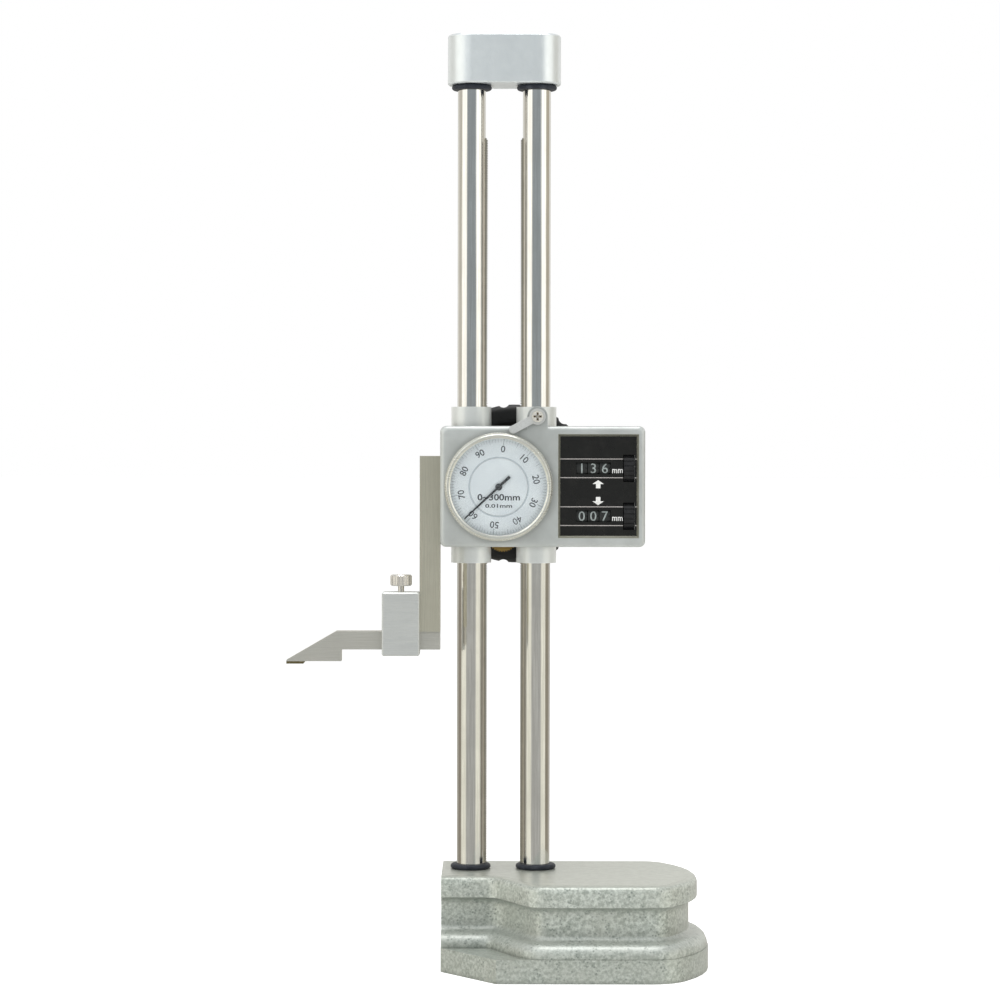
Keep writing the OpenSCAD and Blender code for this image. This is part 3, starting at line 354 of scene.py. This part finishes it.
looks = {
    "base_paint": hammertone(),
    "bumper_rubber": rubber(),
    "dial_white": dial_face(),
    "crystal_clear": crystal(),
    "bridge_paint": satin_paint("bridge_paint", (0.78, 0.82, 0.83), (0.72, 0.76, 0.77), 0.6),
    "carriage_paint": satin_paint("carriage_paint", (0.58, 0.605, 0.59), (0.47, 0.49, 0.475), 0.45, 0.44),
    "column_chrome": metal(
        "chromed_column", (0.86, 0.85, 0.82), (0.70, 0.69, 0.66), rough=0.10,
        streak=UP, per_metre=900, relief=0.03),
    "rack_steel": metal(
        "rack_steel", (0.52, 0.48, 0.40), (0.40, 0.37, 0.30), rough=0.36, streak=ACROSS, per_metre=1500),
    "plain_steel": metal("plain_steel", (0.66, 0.66, 0.66), (0.48, 0.48, 0.48), rough=0.25),
    "black_oxide": metal("black_oxide", (0.10, 0.10, 0.11), (0.045, 0.045, 0.05), rough=0.36, wear_and_sheen=0.5),
    "bush_bronze": metal("bush_bronze", (0.60, 0.42, 0.20), (0.42, 0.28, 0.13), rough=0.34),
    "gear_brass": metal(
        "gear_brass", (0.50, 0.33, 0.11), (0.33, 0.21, 0.065), rough=0.30, streak=ACROSS, per_metre=600),
    "bezel_silver": metal(
        "bezel_silver", (0.78, 0.78, 0.715), (0.67, 0.67, 0.605), rough=0.22,
        streak=ACROSS, per_metre=600, wear_and_sheen=0.3, bare=0.7),
    "clamp_steel": metal(
        "clamp_steel", (0.70, 0.71, 0.70), (0.62, 0.63, 0.62), rough=0.42, per_metre=1200, bare=0.5),
    # The plated screw gets a brown painted shade in its cross recess
    "screw_brassy": metal(
        "plated_screw", (0.92, 0.90, 0.84), (0.78, 0.74, 0.64), rough=0.30,
        per_metre=900, bare=0.6, painted_shade=(0.16, 0.10, 0.05)),
    "screw_nickel": metal(
        "knurled_nickel", (0.88, 0.85, 0.80), (0.66, 0.63, 0.58), rough=0.24,
        streak=UP, per_metre=700, wear_and_sheen=0.4, bare=0.8),
    "jaw_steel": metal(
        "jaw_steel", (0.60, 0.58, 0.475), (0.51, 0.49, 0.40), rough=0.38,
        streak=UP, per_metre=2200, wear_and_sheen=0.5, relief=0.03, bare=0.7),
    "box_satin": metal(
        "box_satin", (0.69, 0.705, 0.69), (0.63, 0.645, 0.63), rough=0.50,
        streak=ACROSS, per_metre=1500, relief=0.04, bare=0.7),
    "scriber_steel": metal(
        "scriber_steel", (0.63, 0.62, 0.57), (0.545, 0.535, 0.485), rough=0.38,
        streak=ACROSS, per_metre=2200, wear_and_sheen=0.5, relief=0.03, bare=0.7),
    "carbide": metal("carbide", (0.30, 0.25, 0.13), (0.19, 0.155, 0.075), rough=0.35, wear_and_sheen=0.3),
    "panel_black": black_plastic(
        "panel_black", (0.006, 0.0058, 0.005), (0.018, 0.017, 0.015), 0.30, grain=900, relief=0.06),
    "drum_black": black_plastic("drum_black", (0.022, 0.024, 0.023), (0.04, 0.043, 0.042), 0.45),
    "reset_black": black_plastic("reset_black", (0.008, 0.008, 0.009), (0.03, 0.03, 0.032), 0.42),
    "wheel_black": black_plastic("wheel_black", (0.008, 0.008, 0.008), (0.025, 0.025, 0.026), 0.40),
    "pointer_black": ink("pointer_black", (0.010, 0.010, 0.012), (0.03, 0.03, 0.035)),
}
# The slider frame's sleeves get a paler copy of the carriage paint: painted light
lit_sleeve_paint = satin_paint("lit_sleeve_paint", (0.80, 0.82, 0.80), (0.73, 0.75, 0.73), 0.35)
for part in frame["record"]["subparts"]:
    for slot in nodes[part["node"]].material_slots:
        slot.material = lit_sleeve_paint if part["node"] == "slider_frame" else looks[part["material_slot"]]


# Mesh helpers

def new_object(name, mesh, look):
    """Object in the scene with a bmesh as its shape and one material; the bmesh is freed."""
    data = bpy.data.meshes.new(name)
    mesh.to_mesh(data)
    mesh.free()
    data.materials.append(look)
    made = bpy.data.objects.new(name, data)
    bpy.context.scene.collection.objects.link(made)
    return made


def add_piece(name, mesh, body, look, smooth_angle=30):
    """Makes an object of a bmesh, shaded smooth up to an angle, that rides on a body."""
    bmesh.ops.remove_doubles(mesh, verts=mesh.verts, dist=0.001 * MM)
    bmesh.ops.recalc_face_normals(mesh, faces=mesh.faces)
    limit = math.radians(smooth_angle)
    for edge in mesh.edges:
        edge.smooth = len(edge.link_faces) == 2 and edge.calc_face_angle() < limit
    for face in mesh.faces:
        face.smooth = True
    piece = new_object(name, mesh, look)
    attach(piece, body)
    return piece


def join_rings(mesh, rings):
    """Skin over rings of points, from each ring to the next and from the last to the first."""
    for k in range(len(rings)):
        a, b = rings[k], rings[(k + 1) % len(rings)]
        for i in range(len(a)):
            j = (i + 1) % len(a)
            mesh.faces.new((a[i], a[j], b[j], b[i]))


def add_prism(mesh, outline, place, height):
    """Raises a flat outline by a height; place turns (across, up, out) into a point."""
    rings = [[mesh.verts.new(place(u, v, w)) for u, v in outline] for w in (0.0, height)]
    mesh.faces.new(rings[1])
    mesh.faces.new(list(reversed(rings[0])))
    for i in range(len(outline)):
        j = (i + 1) % len(outline)
        mesh.faces.new((rings[0][i], rings[0][j], rings[1][j], rings[1][i]))


def letter_shape(text, weight):
    """Mesh of plain letters, 1 thick about the XY plane; weight widens the strokes."""
    curve = bpy.data.curves.new("letters", "FONT")
    curve.body = text
    curve.extrude = 0.5
    curve.offset = weight
    curve.resolution_u = 3
    holder = bpy.data.objects.new("letters", curve)
    bpy.context.scene.collection.objects.link(holder)
    graph = bpy.context.evaluated_depsgraph_get()
    shape = bpy.data.meshes.new_from_object(holder.evaluated_get(graph))
    bpy.data.objects.remove(holder)
    bpy.data.curves.remove(curve)
    return shape


def add_letters(mesh, text, height, place, depth, weight=0.0, wide=1.0, strips=1):
    """Raises plain letters of a given height about place(0, 0, 0), cut into level strips to bend."""
    shape = letter_shape(text, weight)
    xs = [v.co.x for v in shape.vertices]
    ys = [v.co.y for v in shape.vertices]
    tall = max(ys) - min(ys)
    size = height / tall
    middle_x = (max(xs) + min(xs)) / 2
    middle_y = (max(ys) + min(ys)) / 2
    letters = bmesh.new()
    letters.from_mesh(shape)
    for i in range(1, strips):
        cut = (0, min(ys) + tall * i / strips, 0)
        everything = letters.verts[:] + letters.edges[:] + letters.faces[:]
        bmesh.ops.bisect_plane(letters, geom=everything, plane_co=cut, plane_no=(0, 1, 0))
    for v in letters.verts:
        across = (v.co.x - middle_x) * size * wide
        v.co = place(across, (v.co.y - middle_y) * size, (v.co.z + 0.5) * depth)
    letters.to_mesh(shape)
    letters.free()
    mesh.from_mesh(shape)
    bpy.data.meshes.remove(shape)


def rectangle(width, height):
    """Outline of a centred rectangle."""
    w, h = width / 2, height / 2
    return [(-w, -h), (w, -h), (w, h), (-w, h)]


def centre_of(node):
    low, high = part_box(node)
    return (low + high) / 2


# Places on the part

# Height of printed ink above its face
ink_height = 0.05 * MM
dial_centre = centre_of("dial_plate")
dial_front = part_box("dial_plate")[0].y
panel_low, panel_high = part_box("counter_panel")
# Degrees by which the dial stands turned to the right
dial_turned = 6.5
bezel_low, bezel_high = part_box("bezel")
# Radius of the bezel's opening
bezel_open = (bezel_high.x - bezel_low.x) / 2 - 2.8 * MM


def on_dial(angle, radius):
    """Place on the dial: across is clockwise, up is outward, angle is clockwise from the top."""
    s, c = math.sin(math.radians(angle)), math.cos(math.radians(angle))

    def place(u, v, w):
        return Vector((
            dial_centre.x + (radius + v) * s + u * c,
            dial_front - w,
            dial_centre.z + (radius + v) * c - u * s,
        ))
    return place


def on_front(x, z, y):
    """Place on a face that looks to the front."""
    return lambda u, v, w: Vector((x + u, y - w, z + v))


def on_drum(node, angle):
    """Place wrapped round a drum: up runs round the drum, angle is upward from the front."""
    low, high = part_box(node)
    middle = (low + high) / 2
    radius = (high.z - low.z) / 2

    def place(u, v, w):
        a = math.radians(angle) + v / radius
        return Vector((
            middle.x + u,
            middle.y - (radius + w) * math.cos(a),
            middle.z + (radius + w) * math.sin(a),
        ))
    return place


# Dial and bezel

black_ink = ink("black_ink", (0.015, 0.016, 0.02), (0.06, 0.065, 0.075))
# Ink for the painted shade at the dial's inner step
step_shade_ink = ink("step_shade_ink", (0.44, 0.49, 0.52), (0.55, 0.60, 0.63))
tick_ink = ink("tick_ink", (0.36, 0.39, 0.41), (0.47, 0.50, 0.52))
number_ink = ink("number_ink", (0.045, 0.05, 0.058), (0.11, 0.12, 0.13))


def make_dial_circle():
    """Soft inner circle of the dial, as a ring of short strips: painted shade at the step between the
    turning ring and the fixed middle.
    """
    mesh = bmesh.new()
    radius = 14.4 * MM
    width = 0.75 * MM
    strips = 120
    turn = 360 / strips
    chord = 2 * radius * math.tan(math.radians(turn / 2))
    for i in range(strips):
        add_prism(mesh, rectangle(chord, width), on_dial(turn * i, radius), ink_height)
    return add_piece("dial_circle", mesh, "dial", step_shade_ink)


def make_dial_ticks():
    """A hundred divisions inside the bezel, longer and wider at the fives and the tens."""
    mesh = bmesh.new()
    divisions = 100
    rim = bezel_open - 0.3 * MM
    for i in range(divisions):
        length, width = 1.7 * MM, 0.18 * MM
        if i % 10 == 0:
            length, width = 3.0 * MM, 0.34 * MM
        elif i % 5 == 0:
            length, width = 2.4 * MM, 0.26 * MM
        place = on_dial(dial_turned + 360 / divisions * i, rim - length / 2)
        add_prism(mesh, rectangle(width, length), place, ink_height)
    return add_piece("dial_ticks", mesh, "dial", tick_ink)


def make_dial_numbers():
    """Numbers from 0 to 90, each upright along its radius."""
    mesh = bmesh.new()
    radius = 18.6 * MM
    height = 3.3 * MM
    for i in range(10):
        place = on_dial(dial_turned + 36 * i, radius)
        # A heavier 4 would close its own eye
        weight = 0.0 if i == 4 else 0.012
        add_letters(mesh, str(10 * i), height, place, ink_height, weight)
    return add_piece("dial_numbers", mesh, "dial", number_ink)


def make_dial_lettering():
    """Range and division printed on the fixed middle of the dial."""
    mesh = bmesh.new()
    # Text, height, distance below the dial's centre and stretch
    lines = (("0~300mm", 3.2, 5.0, 1.18), ("0.01mm", 1.9, 9.2, 1.6))
    for text, height, drop, wide in lines:
        place = on_front(dial_centre.x, dial_centre.z - drop * MM, dial_front)
        add_letters(mesh, text, height * MM, place, ink_height, weight=0.02, wide=wide)
    return add_piece("dial_lettering", mesh, "carriage", black_ink)


def bezel_profile(outer, depth, lip):
    """Section of the ring in mm: radius, height from the housing side and depth of the milling there."""
    seat = outer - 2.95
    ledge = outer - 1.5
    ledge_h = 2.5
    back = [(seat, 0, 0), (outer - 0.4, 0, 0), (outer, 0.4, 0), (outer, 1.0, 0)]
    milled = [
        (outer - 0.05, 1.2, 0.28),
        (outer - 0.05, depth - 1.9, 0.28),
        (outer - 0.25, depth - 1.3, 0.28),
        (outer - 0.55, depth - 0.85, 0.2),
    ]
    front = [
        (outer - 0.75, depth - 0.6, 0),
        (outer - 0.95, depth - 0.25, 0),
        (outer - 1.25, depth, 0),
        (outer - 1.7, depth - 0.02, 0),
        (outer - 2.2, depth - 0.12, 0),
    ]
    inside = [
        (lip, depth - 0.5, 0),
        (lip, depth - 0.8, 0),
        (ledge, depth - 0.8, 0),
        (ledge, ledge_h, 0),
        (seat, ledge_h, 0),
    ]
    return back + milled + front + inside


def make_bezel():
    """Rolled ring with a milled edge, in place of the plain one."""
    outer = (bezel_high.x - bezel_low.x) / 2 / MM
    depth = (bezel_high.y - bezel_low.y) / MM
    profile = bezel_profile(outer, depth, bezel_open / MM)
    ridges = 120
    per_ridge = 6
    steps = ridges * per_ridge
    mesh = bmesh.new()
    rings = []
    for i in range(steps):
        angle = 2 * math.pi * i / steps
        cut = 0.5 - 0.5 * math.cos(2 * math.pi * i / per_ridge)
        section = []
        for r, h, mill in profile:
            radius = (r - mill * cut) * MM
            x = dial_centre.x + radius * math.sin(angle)
            z = dial_centre.z + radius * math.cos(angle)
            section.append(mesh.verts.new((x, bezel_high.y - h * MM, z)))
        rings.append(section)
    join_rings(mesh, rings)
    ring = add_piece("milled_bezel", mesh, "dial", looks["bezel_silver"], smooth_angle=50)
    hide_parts("bezel")
    return ring


make_dial_circle()
make_dial_ticks()
make_dial_numbers()
make_dial_lettering()
make_bezel()


# Counters

digit_paint = ink("digit_paint", (0.37, 0.41, 0.40), (0.28, 0.32, 0.31))
white_paint = ink("white_fill", (0.80, 0.80, 0.78), (0.66, 0.66, 0.64))
silver_line = metal(
    "silver_line", (0.72, 0.67, 0.65), (0.56, 0.52, 0.50), rough=0.3,
    streak=ACROSS, per_metre=900, bare=0.6)
trim_metal = metal(
    "window_trim", (0.44, 0.44, 0.37), (0.31, 0.31, 0.25), rough=0.4,
    streak=ACROSS, per_metre=700, wear_and_sheen=0.3, bare=0.8)

# Digits shown at rest, from hundreds to units, and which way each count runs with the carriage
readings = {"upper": (1, 3, 6), "lower": (0, 0, 7)}
count_order = {"upper": 1, "lower": -1}

counter_z = [centre_of(f"{row}_units_drum").z for row in ("lower", "upper")]
wheel_low, wheel_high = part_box("upper_reset_wheel")
# Width of the window trim
trim_w = 1.1 * MM
# Gap between the channel lines and a reset wheel
wheel_gap = 0.5 * MM


def make_digits(row, place_name, shown, order):
    """Ten digits round a drum; order is 1 where the count rises with the carriage, -1 where it falls."""
    node = f"{row}_{place_name}_drum"
    height = 4.8 * MM
    mesh = bmesh.new()
    for digit in range(10):
        place = on_drum(node, 36 * order * (digit - shown))
        add_letters(mesh, str(digit), height, place, ink_height, strips=12)
    body = f"{row}_{place_name}"
    return add_piece(f"{body}_digits", mesh, body, digit_paint, smooth_angle=40)


def make_panel_lines():
    """Bright strips along both edges of each counter channel, broken at the reset wheels."""
    mesh = bmesh.new()
    width = 0.42 * MM
    height = 0.15 * MM
    half_channel = 4.4 * MM
    # The strips lie just outside the channel
    strip_z = half_channel * 1.04
    spans = (
        (panel_low.x + trim_w, wheel_low.x - wheel_gap),
        (wheel_high.x + wheel_gap, panel_high.x - trim_w),
    )
    for z in counter_z:
        for edge in (-strip_z, strip_z):
            for left, right in spans:
                place = on_front((left + right) / 2, z + edge, panel_low.y)
                add_prism(mesh, rectangle(right - left, width), place, height)
    return add_piece("panel_lines", mesh, "carriage", silver_line)


def make_panel_marks():
    """Count-up and count-down arrows between the channels and the unit beside each counter."""
    mesh = bmesh.new()
    lower_z, upper_z = counter_z
    arrow = [(-1.1, -2.0), (1.1, -2.0), (1.1, 0.1), (2.8, 0.1), (0.0, 2.0), (-2.8, 0.1), (-1.1, 0.1)]
    arrow_x = centre_of("upper_tens_drum").x + 2.3 * MM
    up_arrow_z = upper_z - 7.75 * MM
    down_arrow_z = lower_z + 7.4 * MM
    for z, point in ((up_arrow_z, 1), (down_arrow_z, -1)):
        outline = [(u * MM, v * MM * point) for u, v in arrow]
        add_prism(mesh, outline, on_front(arrow_x, z, panel_low.y), ink_height)
    # The unit stands on the channel's floor, between the last drum and the wheel
    unit_height = 2.0 * MM
    unit_drop = 1.3 * MM
    channel_floor = panel_low.y + 0.6 * MM
    drum_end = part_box("upper_units_drum")[1].x
    wheel_side = wheel_low.x - wheel_gap
    unit_x = (drum_end + wheel_side) / 2 + 0.35 * MM
    for z in counter_z:
        place = on_front(unit_x, z - unit_drop, channel_floor)
        add_letters(mesh, "mm", unit_height, place, ink_height, weight=0.01, wide=0.85)
    return add_piece("panel_marks", mesh, "carriage", white_paint)


def make_window_trim():
    """Thin bevelled frame between the housing and the counter panel."""
    mesh = bmesh.new()
    back = panel_low.y
    proud = 1.4 * MM

    def ring(inset, y):
        left, right = panel_low.x + inset, panel_high.x - inset
        bottom, top = panel_low.z + inset, panel_high.z - inset
        corners = ((left, bottom), (right, bottom), (right, top), (left, top))
        return [mesh.verts.new((x, y, z)) for x, z in corners]

    rings = [
        ring(0, back),
        ring(0, back - proud),
        ring(0.25 * MM, back - proud),
        ring(trim_w, back - 0.1 * MM),
        ring(trim_w, back),
    ]
    join_rings(mesh, rings)
    return add_piece("window_trim", mesh, "carriage", trim_metal)


for row, digits in readings.items():
    for place_name, shown in zip(("hundreds", "tens", "units"), digits):
        make_digits(row, place_name, shown, count_order[row])
make_panel_lines()
make_panel_marks()
make_window_trim()


# Smooth shading of the solids, by a modifier so that their meshes stay as they are

def shade_by_angle(limit):
    """Geometry nodes that shade faces smooth and keep edges sharp from a limit in degrees up."""
    group = bpy.data.node_groups.new("shade_by_angle", "GeometryNodeTree")
    group.interface.new_socket("Geometry", in_out="INPUT", socket_type="NodeSocketGeometry")
    group.interface.new_socket("Geometry", in_out="OUTPUT", socket_type="NodeSocketGeometry")
    add, link = group.nodes.new, group.links.new
    start = add("NodeGroupInput")
    end = add("NodeGroupOutput")
    angle = add("GeometryNodeInputMeshEdgeAngle")
    smooth = add("FunctionNodeCompare")
    smooth.operation = "LESS_THAN"
    smooth.inputs["B"].default_value = math.radians(limit)
    faces = add("GeometryNodeSetShadeSmooth")
    edges = add("GeometryNodeSetShadeSmooth")
    edges.domain = "EDGE"
    weld = add("GeometryNodeMergeByDistance")
    weld.inputs["Distance"].default_value = 0.0005 * MM
    link(start.outputs[0], weld.inputs["Geometry"])
    link(weld.outputs["Geometry"], faces.inputs["Geometry"])
    link(faces.outputs["Geometry"], edges.inputs["Geometry"])
    link(angle.outputs["Unsigned Angle"], smooth.inputs["A"])
    link(smooth.outputs["Result"], edges.inputs["Shade Smooth"])
    link(edges.outputs["Geometry"], end.inputs[0])
    return group


smoothing = shade_by_angle(32)
for node in nodes.values():
    node.modifiers.new("shade_by_angle", "NODES").node_group = smoothing


# Stage, light and camera

def make_floor():
    """Pale paper disc that glows a little and doesn't show in the metal."""
    g = Graph("pale_floor", Specular_IOR_Level=0.0, Emission_Strength=0.5)
    cloud = g.spread(g.noise(3, 4), 0.3, 0.7)
    paper = g.mix(cloud, (0.90, 0.90, 0.90), (0.94, 0.94, 0.94))
    g.set(Base_Color=paper, Emission_Color=paper, Roughness=g.spread(cloud, 0.0, 1.0, 0.6, 0.7))
    mesh = bmesh.new()
    bmesh.ops.create_circle(mesh, cap_ends=True, radius=30, segments=96)
    floor = new_object("floor", mesh, g.material)
    floor.visible_glossy = False


def make_backdrop():
    """White surround that only the camera sees, so that it neither lights nor mirrors in the metal."""
    g = Graph("white_backdrop", Base_Color=(0, 0, 0, 1), Roughness=1.0, Specular_IOR_Level=0.0)
    g.set(Emission_Color=(1, 1, 1, 1), Emission_Strength=1.0)
    mesh = bmesh.new()
    bmesh.ops.create_icosphere(mesh, subdivisions=3, radius=40)
    backdrop = new_object("backdrop", mesh, g.material)
    for ray in ("diffuse", "glossy", "transmission", "volume_scatter", "shadow"):
        setattr(backdrop, f"visible_{ray}", False)


class Room(Nodes):
    """A world coloured by direction: the angle around from the front, and how far up."""

    def __init__(self, name):
        world = bpy.data.worlds.new(name)
        world.use_nodes = True
        bpy.context.scene.world = world
        super().__init__(world.node_tree)
        sight = self.add("ShaderNodeSeparateXYZ")
        self.link(self.add("ShaderNodeTexCoord").outputs["Generated"], sight.inputs["Vector"])
        forward = self.add("ShaderNodeMath", operation="MULTIPLY")
        forward.inputs[1].default_value = -1.0
        self.link(sight.outputs["Y"], forward.inputs[0])
        turn = self.add("ShaderNodeMath", operation="ARCTAN2")
        self.link(sight.outputs["X"], turn.inputs[0])
        self.link(forward.outputs["Value"], turn.inputs[1])
        self.around = turn.outputs["Value"]
        self.up = sight.outputs["Z"]

    def span(self, value, low, high):
        """Maps low to high onto 0 to 1."""
        node = self.add("ShaderNodeMapRange")
        node.inputs["From Min"].default_value = low
        node.inputs["From Max"].default_value = high
        self.link(value, node.inputs["Value"])
        return node.outputs["Result"]

    def blend(self, amount, a, b):
        node = self.add("ShaderNodeMix", data_type="RGBA")
        self.link(amount, node.inputs["Factor"])
        self.link(a, node.inputs[MIX_A])
        self.link(b, node.inputs[MIX_B])
        return node.outputs[MIX_RESULT]

    def plain(self, colour):
        node = self.add("ShaderNodeRGB")
        node.outputs["Color"].default_value = (*colour, 1)
        return node.outputs["Color"]

    def walls(self, grey, white, left, right, pale):
        """Colours round the room, by the angle from the front in degrees, to the right when positive."""
        stops = [
            (-180, pale), (-128, pale), (-122, left), (-90, left), (-80, white), (-43, white),
            (-35, grey), (37, grey),
            (44, white), (79, white), (86, right), (121, right), (126, pale), (180, pale),
        ]
        ramp = self.add("ShaderNodeValToRGB")
        self.link(self.span(self.around, -math.pi, math.pi), ramp.inputs["Fac"])
        while len(ramp.color_ramp.elements) < len(stops):
            ramp.color_ramp.elements.new(0.5)
        for element, (angle, colour) in zip(ramp.color_ramp.elements, stops):
            element.position = (angle + 180) / 360
            element.color = (*colour, 1)
        return ramp.outputs["Color"]

    def shine(self, colour, strength):
        background = self.tree.nodes["Background"]
        background.inputs["Strength"].default_value = strength
        self.link(colour, background.inputs["Color"])


def make_studio():
    """A studio room as the world: grey front, bright side walls, dim corners behind, grey ceiling."""
    room = Room("studio")
    upper = room.walls(
        grey=(0.235, 0.26, 0.275), white=(1.0, 0.98, 0.92), left=(0.46, 0.44, 0.39),
        right=(0.38, 0.35, 0.29), pale=(0.60, 0.59, 0.56))
    lower = room.walls(
        grey=(0.34, 0.34, 0.325), white=(0.66, 0.65, 0.57), left=(0.22, 0.20, 0.165),
        right=(0.23, 0.21, 0.17), pale=(0.40, 0.39, 0.36))
    ceiling = room.plain((0.40, 0.41, 0.42))
    sides = room.blend(room.span(room.up, -0.03, -0.005), lower, upper)
    room.shine(room.blend(room.span(room.up, 0.35, 0.75), sides, ceiling), strength=1.38)


def make_light(name, place, aim, size, power):
    """Square area lamp, in metres and watts."""
    lamp = bpy.data.lights.new(name, "AREA")
    lamp.energy = power
    lamp.size = size
    holder = bpy.data.objects.new(name, lamp)
    holder.location = place
    holder.rotation_euler = (Vector(aim) - Vector(place)).to_track_quat("-Z", "Y").to_euler()
    bpy.context.scene.collection.objects.link(holder)


def make_camera():
    """Long lens in front of the gauge, level but for a slight lean."""
    sensor = 36
    # Focal length in widths of the frame
    frame_widths = 2.9
    lens = bpy.data.cameras.new("camera")
    lens.sensor_width = sensor
    lens.lens = sensor * frame_widths
    lens.shift_y = -0.045
    lens.clip_start = 0.05
    lens.clip_end = 200
    holder = bpy.data.objects.new("camera", lens)
    holder.location = (-0.0019, -1.450, 0.252)
    lean = math.radians(0.1)
    holder.rotation_euler = (math.radians(90), -lean, 0)
    bpy.context.scene.collection.objects.link(holder)
    bpy.context.scene.camera = holder


make_floor()
make_backdrop()
make_studio()
make_light("key", (-0.8, -1.4, 1.2), aim=(0, 0, 0.2), size=0.8, power=3)
make_light("fill", (1.2, -1.2, 0.9), aim=(0, 0, 0.2), size=0.9, power=0.7)
make_light("top", (0, -0.15, 1.5), aim=(0, -0.03, 0), size=0.9, power=11)
make_camera()
bpy.context.scene.view_settings.view_transform = "Standard"
